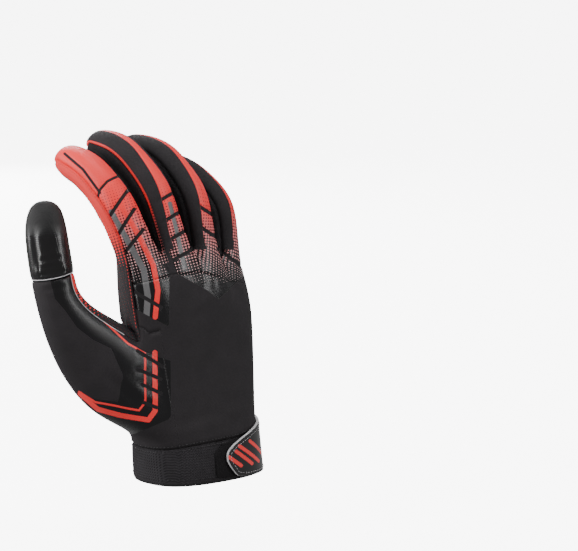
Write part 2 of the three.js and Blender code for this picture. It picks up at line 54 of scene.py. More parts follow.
fingers = [
    {"name": "index", "length": 88, "breadth": 25, "depth": 26, "lean": 21, "curl": (8, 38, 76)},
    {"name": "middle", "length": 98, "breadth": 24.5, "depth": 26, "lean": 14, "curl": (7, 44, 84)},
    {"name": "ring", "length": 98, "breadth": 24, "depth": 25, "lean": 7, "curl": (5, 44, 84)},
    {"name": "little", "length": 92, "breadth": 22, "depth": 22.5, "lean": -2, "curl": (5, 50, 76)},
]
root_heights = (0.96, 1.0, 0.995, 0.9, 0.84)
# height, blend from wrist to knuckles, depth, valley between fingers, palm's hollow, lean, arch
palm_rings = [
    (0, 0, 1, 0, 0, 0.3, 0),
    (0.07, 0.12, 0.98, 0, 0.02, 0.4, 0.05),
    (0.33, 0.55, 0.96, 0, 0.08, 0.6, 0.25),
    (0.66, 0.88, 0.98, 0, 0.1, 0.8, 0.5),
    (0.78, 0.96, 0.98, 0.02, 0.08, 0.95, 0.7),
    (0.89, 1, 0.88, 0.12, 0.03, 1.05, 0.88),
    (1, 1, 0.7, 0.42, 0, 1.15, 1),
]
# along a finger, breadth, depth
finger_rings = [
    (0.09, 0.95, 1.02), (0.19, 0.94, 1.0), (0.29, 0.95, 0.98), (0.37, 0.97, 0.98), (0.45, 0.95, 0.95),
    (0.55, 0.92, 0.92), (0.64, 0.92, 0.91), (0.73, 0.9, 0.88), (0.84, 0.87, 0.83), (0.94, 0.72, 0.68),
]
knuckle_first, knuckle_second, knuckle_spread = 0.37, 0.66, 0.11
tip_bulge, tip_edge_rise, thumb_tip_bulge = 0.075, 0.8, 0.05
# out to the thumb side, forward to the palm, up, breadth, depth
thumb_rings = [
    (0.13, 0.02, 0.04, 2.15, 1.4), (0.2, 0.05, 0.13, 1.95, 1.25), (0.275, 0.08, 0.215, 1.65, 1.12),
    (0.345, 0.11, 0.32, 1.25, 1.05), (0.385, 0.14, 0.43, 1.0, 1.0), (0.395, 0.155, 0.53, 1.03, 1.0),
    (0.405, 0.165, 0.62, 1.0, 0.96), (0.415, 0.17, 0.71, 0.98, 0.9), (0.42, 0.175, 0.79, 0.92, 0.8),
    (0.42, 0.175, 0.86, 0.72, 0.6),
]
thumb_back_way = np.array((-0.55, -0.84, 0.1))
thumb_joint_ring = 5
columns, per_finger = 36, 4
across = per_finger * len(fingers)
ulnar_mid, radial_mid = across + 1, columns - 1
section_roundness, corner_share = 2.6, 0.93
net_points, net_along, net_over, net_faces, net_panels = [], [], [], [], []


def add_point(point, along, over):
    net_points.append(np.array(point, float))
    net_along.append(along)
    net_over.append(over)
    return len(net_points) - 1


def add_face(corners, panel):
    net_faces.append(corners)
    net_panels.append(panel)


def mix(a, b, share):
    return a + (b - a) * share


def column_place(column):
    if column <= across:
        return (2 * column / across - 1) * corner_share, -1, column
    if column == ulnar_mid:
        return 1, 0, across
    if column == radial_mid:
        return -1, 0, 0
    step = columns - 2 - column
    return (2 * step / across - 1) * corner_share, 1, step


def seam_height(share, side):
    edge = share * share
    edge_height = cuff_length["radial"] if share < 0 else cuff_length["ulnar"]
    dorsal, palmar = cuff_length["dorsal"], cuff_length["palmar"]
    middle = (dorsal + palmar) / 2 + side * (palmar - dorsal) / 2
    return edge * edge_height + (1 - edge) * middle


def arch_slope(share, amount):
    drop = thumb_edge_drop if share < 0 else outer_edge_drop
    return math.atan(2 * amount * drop * share / (knuckle_breadth / 2))


def palm_point(ring, column, lean_share=1):
    height, blend, depth_share, valley, hollow, lean, arch = ring
    share, side, step = column_place(column)
    breadth = mix(wrist_breadth, knuckle_breadth, blend)
    depth = mix(wrist_depth, knuckle_depth, blend) * depth_share
    bow = (1 - abs(share) ** section_roundness) ** (1 / section_roundness)
    between = side != 0 and step % per_finger == 0 and 0 < step < across
    dent = 1 - valley if between else 1
    dish = hollow * knuckle_depth * (1 - share * share) if side > 0 else 0
    top = cuff_length["dorsal"] + np.interp(step / per_finger, range(5), root_heights) * palm_length
    half = side * (bow * dent * depth / 2 - dish)
    slope = arch_slope(share, arch)
    drop = (thumb_edge_drop if share < 0 else outer_edge_drop) * share * share
    return np.array((
        share * breadth / 2 - half * math.sin(slope) - lean * lean_share * thumbward_lean,
        half * math.cos(slope) + arch * drop + lean * lean_share * palmward_lean,
        mix(seam_height(share, side), top, height),
    ))


def cuff_point(column, level):
    point = palm_point(palm_rings[0], column, level)
    spread = 1 + (1 - level) * 2 * cuff_flare / wrist_breadth
    return point * (spread, spread, level)


def body_panel(row, column):
    near_thumb = column >= radial_mid - 1 or column <= 1
    if (row < 1 and near_thumb) or (row < 3 and column == 1):
        return "thumb_back"
    if column >= radial_mid - 1:
        return "radial_gusset"
    if column < across:
        return "hand_back" if row < len(palm_rings) - 2 else fingers[column // per_finger]["name"] + "_back"
    return "ulnar_panel" if column < across + 2 else "palm_panel"


def join_rings(lower, upper, row, panel_of, skip=lambda row, column: False):
    for column in range(len(lower)):
        if not skip(row, column):
            after = (column + 1) % len(lower)
            add_face((lower[column], lower[after], upper[after], upper[column]), panel_of(row, column))


def add_ring(points):
    along = float(np.mean([point[2] for point in points]))
    return [add_point(point, along, column_place(column)[2]) for column, point in enumerate(points)]


cuff_rings = [add_ring([cuff_point(column, level) for column in range(columns)]) for level in (0, 0.5)]
body_rings = [add_ring([palm_point(ring, column) for column in range(columns)]) for ring in palm_rings]
last_ring = body_rings[-1]
thumb_columns = (radial_mid - 2, radial_mid - 1, radial_mid, 0)
join_rings(cuff_rings[0], cuff_rings[1], 0, lambda row, column: "cuff_band")
join_rings(cuff_rings[1], body_rings[0], 0, lambda row, column: "cuff_band")
for row in range(len(body_rings) - 1):
    join_rings(body_rings[row], body_rings[row + 1], row, body_panel,
               lambda row, column: 1 <= row < 3 and column in thumb_columns)

ring_size = 12
# Place over a finger's back at each point of its ring: 0 at one seam, 4 at the other.
ring_over = (0, 1, 2, 3, 4, 4.6, 4, 3, 2, 1, 0, -0.6)


def section_points(centre, side, back, breadth, depth):
    angles = math.pi - 2 * math.pi / ring_size * (np.arange(ring_size) + 1)
    return [centre + side * math.cos(a) * breadth / 2 + back * math.sin(a) * depth / 2 for a in angles]


def add_tip(ring, axis, bulge, back_panel, front_panel):
    along = net_along[ring[0]] + bulge
    first = net_over[ring[0]]
    middle = [ring[11]]
    for step in (1, 2, 3):
        rise = 1 if step == 2 else tip_edge_rise
        centre = (net_points[ring[step]] + net_points[ring[10 - step]]) / 2
        middle.append(add_point(centre + axis * bulge * rise, along, first + step))
    middle.append(ring[5])
    for step in range(4):
        add_face((ring[step], ring[step + 1], middle[step + 1], middle[step]), back_panel)
        add_face((middle[step], middle[step + 1], ring[9 - step], ring[10 - step]), front_panel)


webs = []
for index in (1, 2, 3):
    step = index * per_finger
    front = last_ring[columns - 2 - step]
    webs.append(add_point((net_points[last_ring[step]] + net_points[front]) / 2, net_along[front], step))


def finger_base(index):
    first = index * per_finger
    ring = [last_ring[first + step] for step in range(per_finger + 1)]
    ring.append(webs[index] if index < 3 else last_ring[ulnar_mid])
    ring += [last_ring[columns - 2 - first - per_finger + step] for step in range(per_finger + 1)]
    ring.append(webs[index - 1] if index > 0 else last_ring[radial_mid])
    return ring


def finger_panel(index, column):
    if column < 4:
        return fingers[index]["name"] + "_back"
    if 6 <= column < 10:
        return "palm_panel"
    outer = column < 6
    if outer and index == 3:
        return "ulnar_panel"
    if not outer and index == 0:
        return "radial_gusset"
    first = index if outer else index - 1
    return f"{fingers[first]['name']}_{fingers[first + 1]['name']}_fourchette"


def ease(along, centre):
    share = min(max((along - centre + knuckle_spread) / (2 * knuckle_spread), 0), 1)
    return share * share * (3 - 2 * share)


path_steps = 200
finger_paths = {}


def finger_frames(finger, index, start):
    roll = arch_slope((2 * index + 1) / 4 - 1, 1)
    lean = math.radians(finger["lean"])
    flat = np.array((math.cos(roll), math.sin(roll), 0))
    back = np.array((math.sin(roll), -math.cos(roll), 0))
    up = np.array((0, 0, 1))
    rise = up * math.cos(lean) - flat * math.sin(lean)
    side = flat * math.cos(lean) + up * math.sin(lean)
    first, second, third = finger["curl"]
    point = start.copy()
    frames = []
    for step in range(path_steps + 1):
        along = step / path_steps
        bend = (second - first) * ease(along, knuckle_first)
        bend += (third - second) * ease(along, knuckle_second)
        slope = math.radians(first + bend)
        axis = rise * math.cos(slope) - back * math.sin(slope)
        normal = back * math.cos(slope) + rise * math.sin(slope)
        frames.append((point.copy(), axis, side, normal))
        point += axis * finger["length"] / path_steps
    return frames


for index, finger in enumerate(fingers):
    ring = finger_base(index)
    start_along = net_along[ring[0]]
    frames = finger_frames(finger, index, np.mean([net_points[vertex] for vertex in ring], axis=0))
    finger_paths[finger["name"]] = frames
    for along, breadth, depth in finger_rings:
        centre, axis, side, normal = frames[round(along * path_steps)]
        points = section_points(centre, side, normal, breadth * finger["breadth"], depth * finger["depth"])
        after = [add_point(point, start_along + along * finger["length"], per_finger * index + over)
                 for point, over in zip(points, ring_over)]
        join_rings(ring, after, 0, lambda row, column: finger_panel(index, column))
        ring = after
    add_tip(ring, frames[-1][1], tip_bulge * finger["length"], finger["name"] + "_back", "palm_panel")


def thumb_panel(row, column):
    if row > thumb_joint_ring:
        return "thumb_cap"
    if column < 4 or column > 9:
        return "thumb_back"
    return "radial_gusset" if column < 6 else "thumb_front"


low, middle_row, high = body_rings[1], body_rings[2], body_rings[3]
front_edge, front_near, edge_mid, back_near = thumb_columns
thumb_ring = [
    low[back_near], low[1], middle_row[1], high[1], high[back_near], high[edge_mid], high[front_near],
    high[front_edge], middle_row[front_edge], low[front_edge], low[front_near], low[edge_mid],
]
thumb_start = np.mean([net_points[vertex] for vertex in thumb_ring], axis=0)
thumb_centres = [thumb_start]
for out, forward, up, _, _ in thumb_rings:
    thumb_centres.append(thumb_start + np.array((-out, forward, up)) * thumb_length)
thumb_centres.append(thumb_centres[-1])
for row, (_, _, _, breadth, depth) in enumerate(thumb_rings):
    axis = thumb_centres[row + 2] - thumb_centres[row]
    axis /= np.linalg.norm(axis)
    back = thumb_back_way - axis * thumb_back_way.dot(axis)
    back /= np.linalg.norm(back)
    side = np.cross(axis, back)
    points = section_points(thumb_centres[row + 1], side, back, breadth * thumb_breadth,
                            depth * thumb_breadth)
    rise = np.linalg.norm(thumb_centres[row + 1] - thumb_start)
    after = [add_point(point, net_along[low[0]] + rise, over - 2 * per_finger)
             for point, over in zip(points, ring_over)]
    join_rings(thumb_ring, after, row, thumb_panel)
    thumb_ring = after
add_tip(thumb_ring, axis, thumb_tip_bulge * thumb_length, "thumb_cap", "thumb_cap")

# The smooth surface: the net subdivided, with each panel's faces known and the length along the
# hand carried for the ribs of the palm.
smooth_levels = 3
panel_names = sorted(set(net_panels))
net_mesh = bpy.data.meshes.new("net")
net_mesh.from_pydata([tuple(point) for point in net_points], [], net_faces)


def keep_values(mesh, name, values):
    kind, entry = ("FLOAT", "value") if np.ndim(values) == 1 else ("FLOAT_VECTOR", "vector")
    mesh.attributes.new(name, kind, "POINT").data.foreach_set(entry, np.ravel(values))


keep_values(net_mesh, "along", net_along)
keep_values(net_mesh, "over", net_over)
net_mesh.attributes.new("panel", "INT", "FACE").data.foreach_set(
    "value", [panel_names.index(panel) for panel in net_panels])


def place_piece(name, mesh):
    piece = bpy.data.objects.new(name, mesh)
    bpy.context.scene.collection.objects.link(piece)
    return piece


net_object = place_piece("net", net_mesh)
smooth = net_object.modifiers.new("smooth", "SUBSURF")
smooth.levels = smooth.render_levels = smooth_levels


def finished_mesh(piece):
    """The piece's mesh with its modifiers worked in."""
    return bpy.data.meshes.new_from_object(piece.evaluated_get(bpy.context.evaluated_depsgraph_get()))


def read_out(rows, name, width, kind=float):
    values = np.empty(len(rows) * width, kind)
    rows.foreach_get(name, values)
    return values.reshape(-1, width) if width > 1 else values


smooth_mesh = finished_mesh(net_object)
surface = read_out(smooth_mesh.vertices, "co", 3)
ways_out = read_out(smooth_mesh.vertex_normals, "vector", 3)
quads = read_out(smooth_mesh.polygons, "vertices", 4, int)
quad_panel = read_out(smooth_mesh.attributes["panel"].data, "value", 1, int)
along_hand = read_out(smooth_mesh.attributes["along"].data, "value", 1)
over_hand = read_out(smooth_mesh.attributes["over"].data, "value", 1)
bpy.data.objects.remove(net_object)

# The print's drawing. The back's graphics are laid out on one flat drawing, seen from the thumb
# side of the back, with u to the right and v down. One unit is drawing_unit millimetres.
drawing_unit = 0.6
drawing_turn, drawing_tilt = math.radians(-40), math.radians(10)
drawing_foot = (197, 474)
right_way = np.array((math.cos(drawing_turn), math.sin(drawing_turn), 0))
back_way = np.array((math.sin(drawing_turn) * math.cos(drawing_tilt),
                     -math.cos(drawing_turn) * math.cos(drawing_tilt), math.sin(drawing_tilt)))
up_way = np.cross(back_way, right_way)


def on_drawing(points):
    return np.stack([drawing_foot[0] + points @ right_way / drawing_unit,
                     drawing_foot[1] - points @ up_way / drawing_unit], 1)


drawn = on_drawing(surface)


def segment_distance(points, start, end):
    start, end = np.array(start, float), np.array(end, float)
    line = end - start
    share = np.clip(((points - start) @ line) / max(line @ line, 1e-9), 0, 1)
    return np.linalg.norm(points - start - share[:, None] * line, axis=1)


def stroke(points, path, width):
    distance = np.min([segment_distance(points, a, b) for a, b in zip(path[:-1], path[1:])], axis=0)
    return width / 2 - distance


def patch(points, outline):
    inside = np.zeros(len(points), bool)
    closed = list(zip(outline, outline[1:] + outline[:1]))
    for (au, av), (bu, bv) in closed:
        crosses = (av > points[:, 1]) != (bv > points[:, 1])
        reach = au + (points[:, 1] - av) * (bu - au) / (bv - av + 1e-9)
        inside ^= crosses & (points[:, 0] < reach)
    distance = np.min([segment_distance(points, a, b) for a, b in closed], axis=0)
    return np.where(inside, distance, -distance)


def widest(points, paths, width):
    """The largest of the paths' strokes at each point: above zero inside any of them."""
    return np.max([stroke(points, path, width) for path in paths], axis=0)


slash_width, joint_groove_width, joint_groove_shade = 3.6, 2.4, 2.6
slashes = [
    ((136, 186), (115, 217)), ((138, 211), (123, 235)), ((146.5, 231), (129, 253)),
    ((174, 195), (160, 204)), ((180, 214), (166, 223)), ((186, 232), (170, 242)), ((192, 251), (176, 260)),
    ((200, 207), (214, 216)), ((202, 228), (219, 239)), ((219, 249), (240.5, 266)),
    ((139, 292), (164, 306.6)), ((141, 349), (165, 365)), ((141, 367), (163, 377)),
    ((145, 382), (163, 391)), ((147, 400), (159, 405)),
]
joint_grooves = [[(105, 215), (101, 203), (105, 192), (112, 184), (123, 178)],
                 [(69, 156), (88, 172), (105, 195)]]
groove_field = np.maximum(widest(drawn, slashes, slash_width),
                          widest(drawn, joint_grooves, joint_groove_width))
coral_strokes = [
    ([(124, 205), (141, 234), (156, 265), (160.6, 290), (158, 316)], 5),
    ([(105, 316), (117, 328), (131.5, 342), (148, 351.5)], 1.8),
    ([(148, 351.5), (148, 400), (142, 407.5), (117, 402), (100, 399), (84, 389)], 2),
    ([(157.5, 351), (157.5, 408), (151, 417), (124, 412), (102, 406), (85, 391)], 5),
    ([(118, 428), (122, 431)], 2.4),
]
# The grey strokes are painted reflections: light stripes laid on the glossy film where the soft boxes would
# reflect.
painted_reflection_strokes = [([(116, 214), (132, 242), (147, 270), (151, 296), (149, 322)], 6),
                ([(172, 205), (180, 238), (186, 268)], 4)]
# Film on the hand and the index finger as drawn patches, and on each other finger a strip round a
# middle column of the net, narrower towards the tip.
film_patches = [
    [(30, 90), (300, 90), (300, 170), (190, 262), (164, 264), (171.5, 275), (171.5, 326), (110, 292),
     (60, 230)],
    [(171, 250), (176, 266), (178.7, 273), (208, 290), (219, 299), (242, 277.5), (252, 262), (250, 250)],
    [(56, 274), (84, 274), (90, 300), (106, 315), (118, 328), (132, 342), (149, 351), (172.7, 359),
     (172.7, 416), (146, 427), (125, 436), (82, 388), (90, 394), (122, 399), (127, 373), (116, 347),
     (98, 338), (83, 326), (72, 310), (62, 298)],
]
patch_fields = [patch(drawn, outline) * drawing_unit for outline in film_patches]
column_width = 5.2
index_end, strip_foot = 4.3, 262
patch_fields[0] = np.minimum(patch_fields[0], (index_end - over_hand) * column_width)
strip_middles = (6.45, 10.5, 14.7)
strip_half = np.interp(drawn[:, 1], (150, 190, 235), (0.42, 0.8, 1.25))
strip_fields = [np.minimum((strip_half - abs(over_hand - middle)) * column_width,
                           (strip_foot - drawn[:, 1]) * drawing_unit) for middle in strip_middles]
film_field = np.max(patch_fields + strip_fields, axis=0)
# Tone fades down the fingers, and down the thumb's inner side. The thumb's columns count from
# below zero.
tone_start, tone_end = 162, 286
web_end, web_fade, web_most = 318, 55, 0.8
thumb_below = -2
tone_field = np.clip((tone_end - drawn[:, 1]) / (tone_end - tone_start), 0, 1)
tone_field *= over_hand > thumb_below
web_field = np.clip((web_end - drawn[:, 1]) / web_fade, 0, web_most) * (over_hand < thumb_below)
fields = {"film": film_field, "tone": tone_field, "web": web_field, "along": along_hand}

# Cloth panels. Each is a sheet drawn in at its seams, slightly puffed between them, creased where
# the hand bends, and given its own thickness behind. Its printed grooves are pressed in.
seam_depth, seam_reach, puff, puff_reach = 0.75, 1.1, 0.35, 3.5
groove_depth = 0.5
# Folds: middle, line of the fold, half length and half width, depth, all in millimetres.
folds = [
    ((-50, 6, 88), (0.5, 0.2, -1), 20, 2.2, 1.0), ((-54, 12, 84), (0.5, 0.3, -1), 18, 2.0, 0.9),
    ((-47, 14, 80), (0.3, 0.4, -1), 22, 2.4, 1.1), ((-40, 20, 72), (0.2, 0.5, -1), 24, 2.6, 0.9),
    ((-20, 20, 98), (1, 0, 0.15), 30, 2.6, 0.9), ((0, 22, 110), (1, 0.1, 0.1), 34, 2.4, 0.8),
    ((-20, -24, 40), (1, 0, 0.1), 24, 3.0, 0.45), ((14, -22, 46), (1, 0.2, -0.1), 20, 3.0, 0.4),
    ((38, 0, 60), (0.1, 0.2, 1), 24, 2.6, 0.4), ((-64, -10, 62), (0.8, 0.1, -0.7), 22, 2.6, 0.7),
]
for name, path in finger_paths.items():
    for share in (knuckle_first, knuckle_second):
        for nudge in (-0.035, 0.02):
            centre, axis, side, normal = path[round((share + nudge) * path_steps)]
            folds.append((centre - normal * 11, side, 12, 1.5, 0.8))
joint_place = thumb_centres[thumb_joint_ring + 1]
joint_way = thumb_centres[thumb_joint_ring + 3] - joint_place
joint_way /= np.linalg.norm(joint_way)
joint_side = np.cross(joint_way, thumb_back_way)
for lift, depth in ((3.2, 1.2), (6.4, 1.0), (11, 0.6), (-6, 0.6)):
    middle = joint_place + joint_way * lift + thumb_back_way * thumb_breadth / 2
    folds.append((middle, joint_side, 13, 1.3, depth))
relief = 0.16 * np.sin(surface[:, 0] / 7 + 0.6) * np.sin(surface[:, 2] / 11) * np.sin(surface[:, 1] / 8 + 1)
for centre, line, half_length, half_width, depth in folds:
    line = np.array(line, float) / np.linalg.norm(line)
    offset = surface - np.array(centre)
    run = offset @ line
    rest = offset - run[:, None] * line
    rest -= (np.sum(rest * ways_out, axis=1))[:, None] * ways_out
    near = np.exp(-(np.linalg.norm(offset, axis=1) / (half_length + 6)) ** 4)
    wave = np.linalg.norm(rest, axis=1) / half_width
    section = 0.6 * np.exp(-(wave - 1.8) ** 2) - np.exp(-wave ** 2)
    relief += depth * near * np.exp(-(run / half_length) ** 2) * section
pressed = np.clip(groove_field / 2 + 0.5, 0, 1) * np.clip((film_field + 8) / 8, 0, 1)

edge_faces = {}
for face, corners in enumerate(quads):
    for place in range(4):
        a, b = corners[place], corners[(place + 1) % 4]
        edge_faces.setdefault((min(a, b), max(a, b)), []).append(face)
seam_edges = {edge: faces for edge, faces in edge_faces.items()
              if len(faces) == 1 or quad_panel[faces[0]] != quad_panel[faces[1]]}
points_at_once = 2000
smooth_joined = [finger["name"] + "_back" for finger in fingers] + ["hand_back", "thumb_back"]


def panel_group(panel):
    return "back" if panel in smooth_joined else panel


def panel_arrays(panel):
    """Outer points of a panel, its quads and the numbers of its vertices in the whole surface."""
    own = quads[quad_panel == panel_names.index(panel)]
    used, local = np.unique(own, return_inverse=True)
    local = local.reshape(-1, 4)
    border = []
    for edge, faces in seam_edges.items():
        groups = {panel_group(panel_names[quad_panel[face]]) for face in faces}
        if panel_group(panel) in groups and (len(faces) == 1 or len(groups) == 2):
            border.append(edge)
    border = np.array(border)
    starts, ends = surface[border[:, 0]], surface[border[:, 1]]
    points = surface[used]
    distance = np.empty(len(used))
    line = ends - starts
    for first in range(0, len(used), points_at_once):
        block = points[first:first + points_at_once, None, :]
        share = np.clip(np.sum((block - starts) * line, axis=2) / np.sum(line * line, axis=1), 0, 1)
        gap = np.linalg.norm(block - starts - share[:, :, None] * line, axis=2)
        distance[first:first + points_at_once] = gap.min(axis=1)
    lift = relief[used] + puff * (1 - np.exp(-distance / puff_reach))
    lift -= seam_depth * np.exp(-(distance / seam_reach) ** 2)
    if panel.endswith("_back"):
        lift -= groove_depth * pressed[used]
    return points + ways_out[used] * lift[:, None], local, used


# The far fingers turn away from the drawing, so their dots follow the finger instead.
turned_from_drawing = ("ring_back", "little_back")
cloth_thickness, palm_thickness, cuff_thickness = 1.4, 1.8, 2.4


def cloth_piece(panel, thickness, material, kept=None):
    """A panel's sheet with its drawing kept on it as attributes, in place of its solid."""
    points, local, used = panel_arrays(panel)
    if kept:
        local = local[kept(points[local].mean(axis=1))]
    mesh = bpy.data.meshes.new(panel + "_cloth")
    mesh.from_pydata((points * MM).tolist(), [], local.tolist())
    for name, field in fields.items():
        keep_values(mesh, name, field[used])
    flat = np.concatenate([drawn[used] * drawing_unit, np.zeros((len(used), 1))], axis=1)
    keep_values(mesh, "drawing", flat)
    if panel in turned_from_drawing:
        flat = np.stack([over_hand[used] * column_width, along_hand[used], np.zeros(len(used))], axis=1)
    keep_values(mesh, "dots_place", flat)
    mesh.materials.append(material)
    mesh.shade_smooth()
    piece = place_piece(panel + "_cloth", mesh)
    wall = piece.modifiers.new("wall", "SOLIDIFY")
    wall.thickness = thickness * MM
    wall.offset = -1
    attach(piece, "root")
    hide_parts(panel)


# Printed back: stretch cloth, warp knitted from polyester and elastane and dyed black, under a
# pressed film. The film is glossy black or coral, with grey stripes on it that are painted
# reflections of the soft boxes; its dots fade down the fingers, and cut grooves let the knit
# through. The finger backs are sewn to the side strips.
def new_material(name, roughness, **plain):
    material = bpy.data.materials.new(name)
    material.use_nodes = True
    shader = material.node_tree.nodes["Principled BSDF"]
    shader.inputs["Roughness"].default_value = roughness
    for socket, value in plain.items():
        shader.inputs[socket.replace("_", " ")].default_value = value
    return material, material.node_tree, shader


def new_group(name, inputs, outputs):
    group = bpy.data.node_groups.new(name, "ShaderNodeTree")
    for socket, kind, value in inputs:
        made = group.interface.new_socket(socket, in_out="INPUT", socket_type=kind)
        made.default_value = value
    for socket, kind in outputs:
        group.interface.new_socket(socket, in_out="OUTPUT", socket_type=kind)
    return group, group.nodes.new("NodeGroupInput"), group.nodes.new("NodeGroupOutput")


def sum_node(tree, operation, first, second=0.0, third=0.0, clamp=False):
    node = tree.nodes.new("ShaderNodeMath")
    node.operation = operation
    node.use_clamp = clamp
    for socket, value in zip(node.inputs, (first, second, third)):
        if isinstance(value, bpy.types.NodeSocket):
            tree.links.new(value, socket)
        else:
            socket.default_value = value
    return node.outputs[0]


def vector_node(tree, operation, first, second=None, scale=None):
    node = tree.nodes.new("ShaderNodeVectorMath")
    node.operation = operation
    tree.links.new(first, node.inputs[0])
    for place, value in ((1, second), ("Scale", scale)):
        if isinstance(value, bpy.types.NodeSocket):
            tree.links.new(value, node.inputs[place])
        elif value is not None:
            node.inputs[place].default_value = value
    return node.outputs["Value" if operation in ("DOT_PRODUCT", "DISTANCE", "LENGTH") else 0]


def mix_colour(tree, mask, under, over):
    node = tree.nodes.new("ShaderNodeMix")
    node.data_type = "RGBA"
    tree.links.new(mask, node.inputs[0])
    for socket, value in ((node.inputs[6], under), (node.inputs[7], over)):
        if isinstance(value, bpy.types.NodeSocket):
            tree.links.new(value, socket)
        else:
            socket.default_value = (*value, 1)
    return node.outputs[2]


def attribute(tree, name, output="Fac"):
    node = tree.nodes.new("ShaderNodeAttribute")
    node.attribute_name = name
    return node.outputs[output]


fine_knit = 0.0009
knit_group, knit_in, knit_out = new_group(
    "knit", [("Pitch", "NodeSocketFloat", fine_knit), ("Stretch", "NodeSocketFloat", 1.0)],
    [("Height", "NodeSocketFloat"), ("Shade", "NodeSocketFloat")])
place = knit_group.nodes.new("ShaderNodeTexCoord").outputs["Object"]
rate = sum_node(knit_group, "DIVIDE", 1.0, knit_in.outputs["Pitch"])
scaled = vector_node(knit_group, "SCALE", place, scale=rate)
split = knit_group.nodes.new("ShaderNodeSeparateXYZ")
knit_group.links.new(scaled, split.inputs[0])
turn = 2 * math.pi
flat_place = sum_node(knit_group, "ADD", split.outputs[0], split.outputs[1])
wale = sum_node(knit_group, "SINE", sum_node(knit_group, "MULTIPLY", flat_place, turn))
course_place = sum_node(knit_group, "MULTIPLY", split.outputs[2], knit_in.outputs["Stretch"])
zigzag = sum_node(knit_group, "MULTIPLY_ADD", wale, 0.25, course_place)
course = sum_node(knit_group, "SINE", sum_node(knit_group, "MULTIPLY", zigzag, turn))
loops = sum_node(knit_group, "MULTIPLY_ADD", wale, 0.5, sum_node(knit_group, "MULTIPLY", course, 0.5))
grain = knit_group.nodes.new("ShaderNodeTexNoise")
grain.inputs["Scale"].default_value = 90
grain.inputs["Detail"].default_value = 3
knit_group.links.new(place, grain.inputs["Vector"])
knit_group.links.new(loops, knit_out.inputs["Height"])
knit_group.links.new(grain.outputs[0], knit_out.inputs["Shade"])


def use_group(tree, group, **values):
    node = tree.nodes.new("ShaderNodeGroup")
    node.node_tree = group
    for socket, value in values.items():
        if isinstance(value, bpy.types.NodeSocket):
            tree.links.new(value, node.inputs[socket])
        else:
            node.inputs[socket].default_value = value
    return node


def add_bump(tree, shader, height, distance, strength=1.0):
    bump = tree.nodes.new("ShaderNodeBump")
    bump.inputs["Distance"].default_value = distance
    bump.inputs["Strength"].default_value = strength
    tree.links.new(height, bump.inputs["Height"])
    tree.links.new(bump.outputs[0], shader.inputs["Normal"])


def cloud_noise(tree, scale):
    """Uneven colour and gloss, the same on every side of a piece."""
    noise = tree.nodes.new("ShaderNodeTexNoise")
    noise.inputs["Scale"].default_value = scale
    tree.links.new(tree.nodes.new("ShaderNodeTexCoord").outputs["Object"], noise.inputs["Vector"])
    return noise.outputs[0]


def paint(tree, shader, mask, under, over):
    tree.links.new(mix_colour(tree, mask, under, over), shader.inputs["Base Color"])


black = (0.008, 0.0062, 0.0075)
worn_black = (0.019, 0.0152, 0.018)
dots_group, dots_in, dots_out = new_group(
    "halftone", [("Drawing", "NodeSocketVector", (0, 0, 0)), ("Tone", "NodeSocketFloat", 0.5),
                 ("Pitch", "NodeSocketFloat", 1.7)], [("Dots", "NodeSocketFloat")])
turned = dots_group.nodes.new("ShaderNodeVectorRotate")
turned.inputs["Angle"].default_value = math.radians(16)
turned.inputs["Axis"].default_value = (0, 0, 1)
dots_group.links.new(dots_in.outputs["Drawing"], turned.inputs["Vector"])
cell_rate = sum_node(dots_group, "DIVIDE", 1.0, dots_in.outputs["Pitch"])
cells = vector_node(dots_group, "SCALE", turned.outputs[0], scale=cell_rate)
cell = vector_node(dots_group, "FRACTION", cells)
centred = vector_node(dots_group, "SUBTRACT", cell, (0.5, 0.5, 0))
reach = vector_node(dots_group, "LENGTH", centred)
grown = sum_node(dots_group, "POWER", dots_in.outputs["Tone"], 0.75)
radius = sum_node(dots_group, "MULTIPLY_ADD", grown, 0.74, 0.03)
edge = sum_node(dots_group, "SUBTRACT", radius, reach)
mask = sum_node(dots_group, "MULTIPLY_ADD", edge, 9.0, 0.5, clamp=True)
dots_group.links.new(mask, dots_out.inputs["Dots"])


stroke_group, stroke_in, stroke_out = new_group(
    "stroke", [("Drawing", "NodeSocketVector", (0, 0, 0)), ("Start", "NodeSocketVector", (0, 0, 0)),
               ("End", "NodeSocketVector", (1, 0, 0)), ("Width", "NodeSocketFloat", 1.0)],
    [("Inside", "NodeSocketFloat")])
begin = stroke_in.outputs["Start"]
from_start = vector_node(stroke_group, "SUBTRACT", stroke_in.outputs["Drawing"], begin)
line = vector_node(stroke_group, "SUBTRACT", stroke_in.outputs["End"], begin)
reached = vector_node(stroke_group, "DOT_PRODUCT", from_start, line)
whole = vector_node(stroke_group, "DOT_PRODUCT", line, line)
share = sum_node(stroke_group, "DIVIDE", reached, whole, clamp=True)
nearest = vector_node(stroke_group, "SCALE", line, scale=share)
apart = vector_node(stroke_group, "DISTANCE", from_start, nearest)
half_width = sum_node(stroke_group, "MULTIPLY", stroke_in.outputs["Width"], 0.5)
stroke_group.links.new(sum_node(stroke_group, "SUBTRACT", half_width, apart), stroke_out.inputs["Inside"])


def drawn_mask(tree, drawing, paths):
    """One mask for several drawn paths, each a list of points in drawing units and a width."""
    nearest = None
    for path, width in paths:
        for start, end in zip(path[:-1], path[1:]):
            ends = {"Start": (start[0] * drawing_unit, start[1] * drawing_unit, 0),
                    "End": (end[0] * drawing_unit, end[1] * drawing_unit, 0)}
            placed = use_group(tree, stroke_group, Drawing=drawing, Width=width * drawing_unit, **ends)
            inside = placed.outputs[0]
            nearest = inside if nearest is None else sum_node(tree, "MAXIMUM", nearest, inside)
    return sum_node(tree, "MULTIPLY_ADD", nearest, 8.0, 0.5, clamp=True)


def field_mask(tree, name, softness=0.3):
    field = attribute(tree, name)
    return sum_node(tree, "MULTIPLY_ADD", field, 1 / softness, 0.5, clamp=True)


